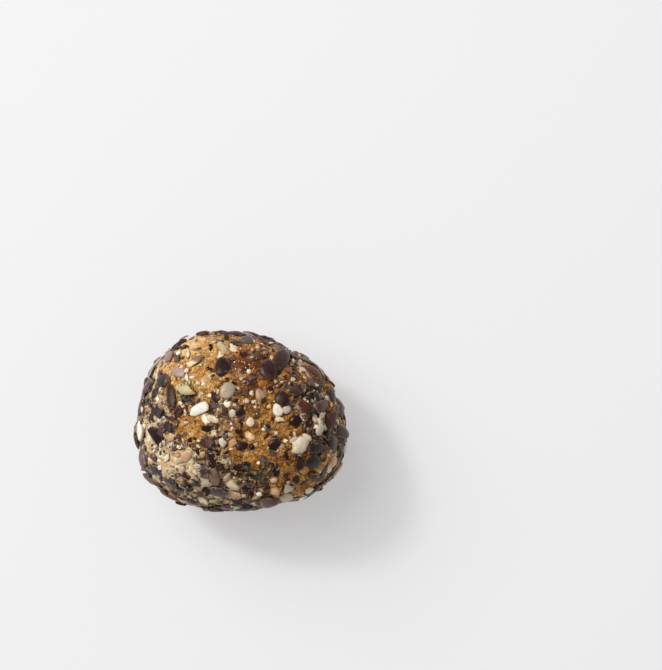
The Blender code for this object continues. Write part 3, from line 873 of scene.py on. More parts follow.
    def fill(self, filling: Filling, cuts: Sequence[Cut]) -> list[Item]:
        """Fills gaps with smaller things, fewer of them where gold crumb shows.

        Args:
            filling: How many, how large and how near.
            cuts: The cuts that they are drawn from.

        Returns:
            The items.
        """
        draw = random.Random(filling.seed)
        whole = cuts[0] == Cut.WHOLE
        light = self.light_seeds if whole else self.light_shards
        items = []
        ways = unit(np.random.default_rng(filling.seed).normal(size=(filling.count * 12, 3)))
        for way, gold, pale in zip(ways, self.gold.at(ways), self.gold.pale(ways), strict=True):
            if len(items) == filling.count:
                break
            bare = math.sqrt(max(gold, pale))
            if (
                way[2] > filling.ceiling
                or draw.random() < filling.shyness * bare
                or draw.random() < self.gaps_on_cream * pale
            ):
                continue
            first, last = filling.lengths
            length = first + (last - first) * len(items) / filling.count
            if self.ledger.free(way, length, filling.clearance):
                self.ledger.take(way, length)
                width = length * draw.uniform(*self.shard_width_share)
                skin = self.some_skin(draw, light, gold, pale)
                cut = Cut.RAGGED if skin in PALE_SKINS and not whole else draw.choice(cuts)
                items.append(Item(way, draw.uniform(0, math.tau), length, width, skin, cut))
        return items

    def crush(self, clusters: Sequence[Cluster], seed: int) -> Lying:
        """Strews the flecks of crushed seeds, densest in the middle of each.

        Args:
            clusters: Where they lie.
            seed: The seed of the draw.

        Returns:
            The flecks.
        """
        draw = np.random.default_rng(seed)
        ways, colours, lifts = [], [], []
        for cluster in clusters:
            share = draw.random(cluster.count) ** 0.6
            far = cluster.radius * share
            turn = draw.uniform(0, math.tau, cluster.count)
            lifts.append(cluster.rise * (1 - share**2))
            for dx, dy in zip(far * np.cos(turn), far * np.sin(turn), strict=True):
                ways.append(self.form.under(cluster.x + dx, cluster.y + dy))
            palette = np.array([linear(*tone)[:3] for tone in cluster.tones])
            colours.append(palette[draw.integers(len(palette), size=cluster.count)])
        count = len(ways)
        lengths = 0.2 + 0.8 * draw.random(count) ** 1.6
        widths = lengths * draw.uniform(0.25, 0.8, count)
        cuts = np.tile(Cut.BROKEN.value, (count, 1))
        turns = draw.uniform(0, math.tau, count)
        colours, lifts = np.concatenate(colours), np.concatenate(lifts)
        return Lying(np.array(ways), turns, lengths, widths, colours, cuts, lifts)

    def peel(self, peels: Sequence[Peel]) -> Lying:
        """Lays the flakes that peel off the sides.

        Args:
            peels: The flakes.

        Returns:
            The flakes as rows.
        """
        around = np.radians([peel.azimuth for peel in peels])
        up = np.radians([peel.elevation for peel in peels])
        return Lying(
            np.stack([np.cos(up) * np.cos(around), np.cos(up) * np.sin(around), np.sin(up)], axis=1),
            around + math.pi / 2 + np.radians([peel.turn for peel in peels]),
            np.array([peel.length for peel in peels]),
            np.array([peel.width for peel in peels]),
            np.array([linear(*peel.tone)[:3] for peel in peels]),
            np.tile(Cut.BROKEN.value, (len(peels), 1)),
            np.array([peel.lift for peel in peels]),
        )

    def strew(self, grit: "Grit") -> Lying:
        """Strews small things that may touch, more or fewer of them where gold crumb shows.

        Args:
            grit: What they are.

        Returns:
            The things.
        """
        draw = np.random.default_rng(grit.seed)
        ways = unit(draw.normal(size=(grit.count * 6, 3)))
        ways = ways[ways[:, 2] < grit.ceiling]
        gold, gain = self.gold.at(ways), grit.gold_gain
        waxy = 1 - self.grit_gaps_on_cream * np.clip(self.gold.pale(ways), 0, 1)
        chance = np.where(gain >= 0, 1 - gain * (1 - gold), 1 + gain * gold) * waxy
        ways = ways[draw.random(len(ways)) < chance][: grit.count]
        count = len(ways)
        least, most = grit.sizes
        lengths = least + (most - least) * draw.random(count) ** 2
        palette = np.array([linear(*tone)[:3] for tone in grit.tones])
        colours = palette[draw.integers(len(palette), size=count)]
        colours = colours * np.exp(draw.normal(0, 0.18, (count, 1)))
        cuts = np.tile(Cut.BROKEN.value, (count, 1))
        widths = lengths * draw.uniform(*self.grit_width_share, count)
        turns = draw.uniform(0, math.tau, count)
        return Lying(ways, turns, lengths, widths, colours, cuts, np.zeros(count))


@dataclass(frozen=True)
class Ring:
    """A ring of a rounded thing: its shares of the width and the half thickness, and its map radius."""

    reach: float
    height: float
    map_reach: float


class Nugget:
    """The mesh that each thing of one kind starts from: a top point, rings of points, a bottom point."""

    def __init__(self, sides: int, rings: Sequence[Ring]) -> None:
        """Builds the points, faces and map.

        Args:
            sides: Points in each ring, a multiple of 6.
            rings: The rings, from the top down.
        """
        self.sides, self.levels = sides, len(rings)
        step = np.arange(sides)
        self.angles = np.tile(math.tau * step / sides, self.levels)
        self.reach = np.repeat([ring.reach for ring in rings], sides)
        map_reach = np.repeat([ring.map_reach for ring in rings], sides)
        self.height = np.concatenate([[1.0], np.repeat([ring.height for ring in rings], sides), [-1.0]])
        self.edge = np.concatenate([[0.0], np.minimum(self.reach, 1.0), [0.0]])
        self.tip = np.concatenate([[0.0], np.cos(self.angles) * self.reach, [0.0]])
        place = np.zeros((len(self.height), 2))
        place[1:-1] = np.stack([np.cos(self.angles), np.sin(self.angles)], axis=1) * map_reach[:, None]
        last = len(self.height) - 1
        faces = []
        for side in range(sides):
            after = (side + 1) % sides
            faces.append((0, 1 + side, 1 + after))
            for level in range(self.levels - 1):
                a, b = 1 + level * sides + side, 1 + level * sides + after
                faces += [(a, a + sides, b + sides), (a, b + sides, b)]
            foot = 1 + (self.levels - 1) * sides
            faces.append((foot + after, foot + side, last))
        self.faces = np.array(faces)
        self.map = place[self.faces]
        for row in np.flatnonzero((self.faces == last).any(axis=1)):
            pair = self.map[row, :2].mean(axis=0)
            self.map[row, 2] = pair / np.linalg.norm(pair)


class Sheet:
    """A material's node tree, with short calls that add nodes and join them."""

    def __init__(self, name: str) -> None:
        """Makes a new material with one Principled shader.

        Args:
            name: The material's name.
        """
        self.material = bpy.data.materials.new(name)
        self.material.use_nodes = True
        self.nodes = self.material.node_tree.nodes
        self.links = self.material.node_tree.links
        self.shader = self.nodes["Principled BSDF"]

    def add(self, kind: str, *inputs: object, **settings: object) -> bpy.types.Node:
        """Adds a node.

        Args:
            kind: The node's type, after ShaderNode.
            *inputs: Values or sockets for its inputs, in order. None leaves an input alone.
            **settings: The node's own settings.

        Returns:
            The node.
        """
        made = self.nodes.new("ShaderNode" + kind)
        for name, value in settings.items():
            setattr(made, name, value)
        for index, value in enumerate(inputs):
            if value is not None:
                self.put(made.inputs[index], value)
        return made

    def put(self, socket: bpy.types.NodeSocket, value: object) -> None:
        """Joins a socket to another, or sets it to a value.

        Args:
            socket: The input.
            value: The other socket, or the value.
        """
        if isinstance(value, bpy.types.NodeSocket):
            self.links.new(value, socket)
        else:
            socket.default_value = value

    def attribute(self, name: str, output: str = "Fac") -> bpy.types.NodeSocket:
        """Reads one of the mesh's attributes."""
        return self.add("Attribute", attribute_name=name).outputs[output]

    def place(self) -> bpy.types.NodeSocket:
        """Gives the place on the piece, in millimetres.

        Returns:
            The place's socket.
        """
        coordinates = self.add("TexCoord").outputs["Object"]
        scaled = self.add("VectorMath", coordinates, operation="SCALE")
        scaled.inputs["Scale"].default_value = 1 / MM
        return scaled.outputs[0]

    def pattern(self, kind: str, output: int | str, **inputs: object) -> bpy.types.NodeSocket:
        """Adds a pattern that fills space.

        Args:
            kind: The node's type, after ShaderNode.
            output: Which of its outputs is wanted.
            **inputs: Values or sockets for its inputs, by name.

        Returns:
            The output's socket.
        """
        made = self.add(kind)
        for name, value in inputs.items():
            self.put(made.inputs[name], value)
        return made.outputs[output]

    def noise(
        self, place: object, scale: float, detail: float = 3.0, roughness: float = 0.55
    ) -> bpy.types.NodeSocket:
        """Adds a noise of that many features per millimetre, and gives its value."""
        return self.pattern("TexNoise", 0, Vector=place, Scale=scale, Detail=detail, Roughness=roughness)

    def noise_colour(self, place: object, scale: float) -> bpy.types.NodeSocket:
        """Adds a noise of that many features per millimetre, and gives its colour."""
        return self.pattern("TexNoise", "Color", Vector=place, Scale=scale)

    def cells(self, place: object, scale: float, output: str) -> bpy.types.NodeSocket:
        """Adds a pattern of grains, that many per millimetre, and gives their distance or colour."""
        return self.pattern("TexVoronoi", output, Vector=place, Scale=scale)

    def ramp(self, value: object, *stops: tuple[float, Sequence[float]]) -> bpy.types.NodeSocket:
        """Turns a value into a colour.

        Args:
            value: The value's socket.
            *stops: Pairs of a value and the colour there.

        Returns:
            The colour's socket.
        """
        made = self.add("ValToRGB", value)
        elements = made.color_ramp.elements
        while len(elements) < len(stops):
            elements.new(0.5)
        for element, (position, colour) in zip(elements, stops, strict=True):
            element.position = position
            element.color = colour
        return made.outputs[0]

    def span(
        self, value: object, low: float, high: float, least: float = 0.0, most: float = 1.0
    ) -> bpy.types.NodeSocket:
        """Maps a value from one span to another, and keeps it within."""
        return self.add("MapRange", value, low, high, least, most).outputs[0]

    def mixed(self, share: object, first: object, second: object, how: str = "MIX") -> bpy.types.NodeSocket:
        """Mixes two colours.

        Args:
            share: How much of the second, as a number or a socket.
            first: A colour or a socket.
            second: A colour or a socket.
            how: Blender's name for the way of mixing.

        Returns:
            The colour's socket.
        """
        made = self.add("Mix", data_type="RGBA", blend_type=how)
        self.put(made.inputs[0], share)
        self.put(made.inputs[6], first)
        self.put(made.inputs[7], second)
        return made.outputs[2]

    def times(self, first: object, second: object, how: str = "MULTIPLY") -> bpy.types.NodeSocket:
        """Does one sum with two numbers."""
        return self.add("Math", first, second, operation=how).outputs[0]

    def grey(self, value: object) -> bpy.types.NodeSocket:
        """Turns a value into a grey of that light."""
        return self.add("CombineColor", value, value, value).outputs[0]

    def bump(
        self, height: object, distance: float, strength: object, under: object = None
    ) -> bpy.types.NodeSocket:
        """Adds a fine relief.

        Args:
            height: The height's socket, 0 to 1.
            distance: How high 1 is, in millimetres.
            strength: How much of it shows, 0 to 1, as a number or a socket.
            under: The socket of a relief below it.

        Returns:
            The normal's socket.
        """
        made = self.add("Bump")
        made.inputs["Distance"].default_value = distance * MM
        self.put(made.inputs["Strength"], strength)
        self.put(made.inputs["Height"], height)
        if under is not None:
            self.put(made.inputs["Normal"], under)
        return made.outputs[0]

    def finish(self, **values: object) -> bpy.types.Material:
        """Sets the shader's sockets.

        Args:
            **values: Values or sockets by the shader's own names, with _ for a space.

        Returns:
            The material.
        """
        for name, value in values.items():
            self.put(self.shader.inputs[name.replace("_", " ")], value)
        return self.material


@dataclass(frozen=True)
class DoughFinish:
    """Moist crumb of roasted soy flour: gold and amber grains like jelly, wax in places, and painted shade
    between grains, in brown pinholes and where the dough lies low.
    """

    name: str = "gold_crumb"
    # The colour of painted shade, in pinholes and where the dough lies low
    pit_shade: Tone = (46, 22, 7)
    brown: Tone = (122, 64, 19)
    amber: Tone = (188, 118, 42)
    gold: Tone = (216, 154, 68)
    pale: Tone = (232, 192, 124)
    dun: Tone = (98, 64, 36)
    tan: Tone = (170, 124, 74)
    beige: Tone = (216, 178, 124)
    cream: Tone = (244, 222, 180)
    husk: Tone = (164, 136, 112)
    honey: Tone = (210, 168, 118)
    wax: Tone = (226, 206, 172)
    milk: Tone = (234, 226, 208)
    chips_per_mm: float = 1.2
    pinholes_per_mm: float = 1.5
    grains_per_mm: float = 5.0

    def material(self) -> bpy.types.Material:
        """Builds the material.

        Returns:
            The material.
        """
        sheet = Sheet(self.name)
        place = sheet.place()
        half = (0.5, 0.5, 0.5)
        stray = sheet.noise_colour(place, 2.5)
        stray = sheet.add("VectorMath", stray, half, operation="SUBTRACT").outputs[0]
        shaken = sheet.add("VectorMath", stray, half, place, operation="MULTIPLY_ADD").outputs[0]
        chip = sheet.add("SeparateColor", sheet.cells(shaken, self.chips_per_mm, "Color")).outputs
        body = sheet.span(sheet.cells(shaken, self.chips_per_mm, "Distance"), 0.42, 0.24)
        mottle = sheet.noise(place, 1.7, 6.0, 0.7)
        value = sheet.times(sheet.times(sheet.noise(place, 0.5, 2.0), 0.35), sheet.times(mottle, 0.65), "ADD")
        pale = sheet.attribute("pale")
        value = sheet.times(value, sheet.times(pale, 0.17), "ADD")
        value = sheet.times(value, sheet.times(chip[1], 0.07), "ADD")
        golden = sheet.ramp(
            value,
            (0.42, linear(*self.brown)),
            (0.5, linear(*self.amber)),
            (0.59, linear(*self.gold)),
            (0.68, linear(*self.pale)),
        )
        dull = sheet.ramp(
            value,
            (0.42, linear(*self.dun)),
            (0.5, linear(*self.tan)),
            (0.59, linear(*self.beige)),
            (0.7, linear(*self.cream)),
        )
        gold = sheet.attribute("gold")
        shown = sheet.mixed(sheet.span(gold, 0.1, 0.55), dull, golden)
        creamy = sheet.times(sheet.span(pale, 0.2, 0.8, 0.0, 0.8), sheet.span(gold, 0.2, 0.8, 1.0, 0.2))
        wax = sheet.ramp(
            sheet.noise(place, 0.85, 4.0, 0.6),
            (0.37, linear(*self.husk)),
            (0.45, linear(*self.honey)),
            (0.53, linear(*self.wax)),
            (0.61, linear(*self.milk)),
        )
        shown = sheet.mixed(creamy, shown, wax)
        picked = sheet.times(sheet.span(chip[0], 0.8, 0.82), body)
        shown = sheet.mixed(sheet.times(picked, 0.4), shown, linear(*self.cream))
        # Painted shade in the gaps between grains, at two sizes, weaker where the dough is cream
        waxy = sheet.span(pale, 0.25, 0.85, 1.0, 0.35)
        for per_mm, darkest in ((self.grains_per_mm * 0.5, 0.58), (self.grains_per_mm, 0.74)):
            shade = sheet.span(sheet.cells(shaken, per_mm, "Distance"), 0.3, 0.65, 1.0, darkest)
            shown = sheet.mixed(waxy, shown, sheet.grey(shade), "MULTIPLY")
        # Painted shade: small dark dots, as if in pinholes of the crumb
        pinhole_shade = sheet.span(sheet.cells(place, self.pinholes_per_mm, "Distance"), 0.13, 0.08)
        shown = sheet.mixed(sheet.times(pinhole_shade, 0.85), shown, linear(*self.pit_shade))
        # Painted shade where the dough lies low
        deep = sheet.span(sheet.attribute("deep"), 0.0, 1.0, 0.0, 0.75)
        shown = sheet.mixed(deep, shown, linear(*self.pit_shade))
        shown = sheet.mixed(1.0, shown, sheet.attribute("skin", "Color"), "MULTIPLY")
        relief = sheet.bump(mottle, 0.16, sheet.span(pale, 0.25, 0.85, 1.0, 0.5))
        grains = sheet.cells(shaken, self.grains_per_mm, "Distance")
        relief = sheet.bump(grains, -0.1, sheet.span(pale, 0.25, 0.85, 1.0, 0.45), relief)
        wet = sheet.span(sheet.noise(place, 3.0, 3.0), 0.4, 0.6, 0.18, 0.5)
        sheet.shader.inputs["Subsurface Radius"].default_value = (1.0, 0.5, 0.2)
        return sheet.finish(
            Base_Color=shown,
            Roughness=wet,
            Normal=relief,
            Specular_IOR_Level=0.28,
            Subsurface_Weight=0.4,
            Subsurface_Scale=0.7 * MM,
        )


@dataclass(frozen=True)
class SeedFinish:
    """The skin of a seed: mottled, a little fibrous along its length, scuffed round its rim, and darkened by
    painted shade along its outer edge.
    """

    name: str
    scuff: Tone
    scuffed: float
    roughness: float
    shine: float
    mottle: float = 0.3
    film: float = 0.3
    glow: float = 0.0
    ridges: float = 0.06
    # How strong the painted shade along the outer edge is; shadow is its colour
    rim_shade: float = 0.45
    smeared: float = 0.0
    shadow: Tone = (42, 26, 18)

    def material(self) -> bpy.types.Material:
        """Builds the material.

        Returns:
            The material.
        """
        sheet = Sheet(self.name)
        own = sheet.attribute("own", "Vector")
        skin = sheet.attribute("skin", "Color")
        edge = sheet.attribute("edge")
        stretched = sheet.add("VectorMath", own, (0.5, 3.0, 1.0), operation="MULTIPLY").outputs[0]
        fibres = sheet.noise(stretched, 2.4, 4.0, 0.6)
        blotches = sheet.noise(own, 1.1, 4.0, 0.6)
        light = sheet.span(blotches, 0.3, 0.75, 1 - self.mottle, 1 + self.mottle)
        shown = sheet.mixed(1.0, skin, sheet.grey(light), "MULTIPLY")
        worn = sheet.times(sheet.span(edge, 0.72, 1.0), sheet.span(fibres, 0.42, 0.62), "MULTIPLY")
        worn = sheet.times(worn, sheet.span(sheet.attribute("tip"), 0.72, 0.92), "MAXIMUM")
        shown = sheet.mixed(sheet.times(worn, self.scuffed), shown, linear(*self.scuff))
        place = sheet.place()
        grain = sheet.noise(place, 3.0, 5.0, 0.7)
        golden = sheet.ramp(grain, (0.36, linear(112, 64, 24)), (0.62, linear(212, 154, 80)))
        creamy = sheet.ramp(grain, (0.36, linear(128, 94, 62)), (0.62, linear(230, 206, 164)))
        crumb = sheet.mixed(sheet.span(sheet.attribute("gold"), 0.1, 0.55), creamy, golden)
        # Painted shade along the outer edge, where the seed meets the dough
        shown = sheet.mixed(sheet.span(edge, 0.9, 1.0, 0.0, self.rim_shade), shown, linear(*self.shadow))
        rim = sheet.span(edge, 0.3, 1.0, self.smeared - 0.12, self.smeared + 0.06)
        smear = sheet.span(sheet.times(sheet.noise(place, 1.3, 6.0, 0.68), rim, "ADD"), 0.52, 0.6)
        shown = sheet.mixed(sheet.times(smear, self.film), shown, crumb)
        relief = sheet.bump(sheet.noise(own, 7.0, 3.0, 0.6), 0.03, 0.6)
        relief = sheet.bump(fibres, self.ridges, 0.6, relief)
        dull = sheet.span(blotches, 0.3, 0.7, self.roughness - 0.1, self.roughness + 0.1)
        made = sheet.finish(Base_Color=shown, Roughness=dull, Normal=relief, Specular_IOR_Level=self.shine)
        if self.glow:
            sheet.finish(Subsurface_Weight=self.glow, Subsurface_Scale=0.6 * MM)
            sheet.shader.inputs["Subsurface Radius"].default_value = (1.0, 0.75, 0.45)
        return made


@dataclass(frozen=True)
class Bedding:
    """How things of one kind sit: thickness, how much of it shows, unevenness, lean and curl."""

    thickness_share: tuple[float, float]
    thickness_span: tuple[float, float]
    showing: tuple[float, float]
    uneven: float
    lean: float
    curl: float = 0.0
    flat: bool = False


# How far the corners of a broken piece reach, in half lengths, by their number
CORNER_REACH = {3: 1.4, 4: 1.3, 6: 1.26, 8: 1.26, 12: 1.2}

# How much of its cell on the map each thing fills, and how much of its part each side of the dough fills
CELL_FILLED = 0.46
SIDE_FILLED = 0.49


class Scatter:
    """Writes one mesh that holds every thing of one kind."""

    def __init__(self, name: str, form: Form, nugget: Nugget, bedding: Bedding, seed: int) -> None:
        """Names the piece.

        Args:
            name: The piece's name.
            form: The ball that it lies on.
            nugget: The mesh that each thing starts from.
            bedding: How they sit.
            seed: The seed of the draw.
        """
        self.name, self.form, self.nugget, self.bedding = name, form, nugget, bedding
        self.draw = np.random.default_rng(seed)

    def outlines(self, lying: Lying) -> np.ndarray:
        """Works out each thing's points in its own measure, 1 being half its length, width and thickness.

        Args:
            lying: The things.

        Returns:
            The points, one row of them for each thing.
        """
        nugget, count = self.nugget, len(lying)
        rim = np.zeros((count, nugget.sides, 2))
        for corners in np.unique(lying.cuts[:, 0]).astype(int):
            rows = lying.cuts[:, 0] == corners
            shape = lying.cuts[rows, 1:].T[:, :, None]
            rim[rows] = self.chipped(corners, shape[3]) if corners else self.rounded(*shape)
        points = np.zeros((count, len(nugget.height), 3))
        points[:, 1:-1, :2] = np.tile(rim, (1, nugget.levels, 1)) * nugget.reach[None, :, None]
        points[:, :, 2] = nugget.height[None]
        points *= 1 + self.bedding.uneven * self.draw.normal(size=(count, len(nugget.height), 1))
        return points

    def rounded(
        self, power: np.ndarray, narrowing: np.ndarray, bend: np.ndarray, uneven: np.ndarray
    ) -> np.ndarray:
        """Works out the outlines of whole seeds.

        Args:
            power: How square each is, 2 for an ellipse.
            narrowing: How much narrower its tip is.
            bend: How far its ends curve aside.
            uneven: The height of the waves in it.

        Returns:
            The rim of each.
        """
        angles = self.nugget.angles[None, : self.nugget.sides]
        along, across = np.cos(angles), np.sin(angles)
        reach = (np.abs(along) ** power + np.abs(across) ** power) ** (-1 / power)
        phase = self.draw.uniform(0, math.tau, size=(len(power), 2))
        waves = np.cos(2 * angles + phase[:, :1]) + np.cos(3 * angles + phase[:, 1:])
        reach *= 1 + 0.6 * uneven * waves
        x = along * reach
        y = across * (1 - narrowing * along) * reach + bend * (x**2 - 0.4)
        return np.stack([x, y], axis=2)

    def chipped(self, corners: int, uneven: np.ndarray) -> np.ndarray:
        """Works out the outlines of broken pieces, with straight edges from corner to corner.

        Args:
            corners: How many corners each has.
            uneven: How far in a corner may lie.

        Returns:
            The rim of each.
        """
        size = (len(uneven), corners)
        turns = (np.arange(corners) + 0.5 + self.draw.uniform(-0.28, 0.28, size)) * math.tau / corners
        far = CORNER_REACH[corners] * (1 - uneven * self.draw.random(size))
        tips = np.stack([np.cos(turns) * far, np.sin(turns) * far], axis=2)
        steps = self.nugget.sides // corners
        share = (np.arange(steps) / steps)[None, None, :, None]
        edges = tips[:, :, None] * (1 - share) + np.roll(tips, -1, axis=1)[:, :, None] * share
        edges *= 1 + 0.05 * self.draw.normal(size=(*size, steps, 1))
        return edges.reshape(len(uneven), self.nugget.sides, 2)

    def lay(self, lying: Lying) -> bpy.types.Object:
        """Lays one thing for each row, and writes them as one piece.

        Args:
            lying: The rows.

        Returns:
            The piece.
        """
        bedding, draw, count = self.bedding, self.draw, len(lying)
        spots, normals = self.form.seats(lying.directions)
        turned = np.stack([np.cos(lying.turns), np.sin(lying.turns), np.zeros(count)], axis=1)
        upright = np.abs(np.sum(turned * normals, axis=1)) > 0.97
        turned[upright] = (0.0, 0.0, 1.0)
        along = unit(turned - normals * np.sum(turned * normals, axis=1)[:, None])
        across = np.cross(normals, along)
        thick = np.clip(lying.widths * draw.uniform(*bedding.thickness_share, count), *bedding.thickness_span)
        raised = thick * (draw.uniform(*bedding.showing, count) - 0.5) + lying.lifts
        spots = spots + normals * raised[:, None]
        lean = np.radians(bedding.lean) * draw.normal(size=(count, 2))
        normals = unit(normals + along * lean[:, :1] + across * lean[:, 1:])
        along = unit(along - normals * np.sum(along * normals, axis=1)[:, None])
        across = np.cross(normals, along)
        halves = np.stack([lying.lengths, lying.widths, thick], axis=1) / 2
        local = self.outlines(lying) * halves[:, None]
        curl = bedding.curl * draw.uniform(0.4, 1.2, size=(count, 1)) / halves[:, :1]
        local[:, :, 2] -= curl * (local[:, :, 0] ** 2 - halves[:, :1] ** 2 / 3)
        axes = np.stack([along, across, normals], axis=1)
        placed = spots[:, None] + np.einsum("nvk,nkj->nvj", local, axes)
        level = draw.uniform(0.0, 0.03, size=(count, 1))
        placed[:, :, 2] = np.maximum(placed[:, :, 2], level)
        own = local + draw.uniform(-40, 40, size=(count, 1, 3))
        return self.write(placed, own, lying)

    def write(self, placed: np.ndarray, own: np.ndarray, lying: Lying) -> bpy.types.Object:
        """Writes the mesh, with each thing's own colour, place and part of the map.

        Args:
            placed: The points of each thing.
            own: The points in each thing's own measure.
            lying: The things.

        Returns:
            The piece.
        """
        nugget = self.nugget
        count, size = placed.shape[0], placed.shape[1]
        faces = (nugget.faces[None] + (np.arange(count) * size)[:, None, None]).reshape(-1, 3)
        mesh = mesh_of(self.name, placed.reshape(-1, 3), faces, self.bedding.flat)
        put_attribute(mesh, "own", "FLOAT_VECTOR", "vector", own.reshape(-1, 3))
        put_attribute(mesh, "edge", "FLOAT", "value", np.tile(nugget.edge, count))
        put_attribute(mesh, "tip", "FLOAT", "value", np.tile(nugget.tip, count))
        shades = np.repeat(np.c_[lying.colours, np.ones(count)], size, axis=0)
        put_attribute(mesh, "skin", "FLOAT_COLOR", "color", shades)
        across = math.ceil(math.sqrt(count))
        corner = np.stack(np.divmod(np.arange(count), across), axis=1) + 0.5
        cell = (corner[:, None, None] + nugget.map[None] * CELL_FILLED) / across
        mesh.uv_layers.new(name=BAKE_MAP).data.foreach_set("uv", cell.astype(np.float32).ravel())
        piece = bpy.data.objects.new(self.name, mesh)
        bpy.context.scene.collection.objects.link(piece)
        return piece


def mesh_of(name: str, points: np.ndarray, faces: np.ndarray, flat: bool = False) -> bpy.types.Mesh:
    """Writes a mesh of triangles.

    Args:
        name: The mesh's name.
        points: Its points, in millimetres.
        faces: Its triangles, as numbers of points.
        flat: Whether its faces show as flat.

    Returns:
        The mesh, in metres.
    """
    mesh = bpy.data.meshes.new(name)
    mesh.vertices.add(len(points))
    mesh.vertices.foreach_set("co", (points * MM).astype(np.float32).ravel())
    mesh.loops.add(len(faces) * 3)
    mesh.loops.foreach_set("vertex_index", faces.astype(np.int32).ravel())
    mesh.polygons.add(len(faces))
    mesh.polygons.foreach_set("loop_start", np.arange(0, len(faces) * 3, 3, dtype=np.int32))
    mesh.update(calc_edges=True)
    if flat:
        mesh.shade_flat()
    else:
        mesh.shade_smooth()
    return mesh


def put_attribute(mesh: bpy.types.Mesh, name: str, kind: str, key: str, values: np.ndarray) -> None:
    """Gives each point of a mesh a value of its own.

    Args:
        mesh: The mesh.
        name: The attribute's name.
        kind: Blender's name for its type.
        key: The property that holds the value.
        values: One row for each point.
    """
    attribute = mesh.attributes.new(name, kind, "POINT")
    attribute.data.foreach_set(key, np.asarray(values, np.float32).ravel())


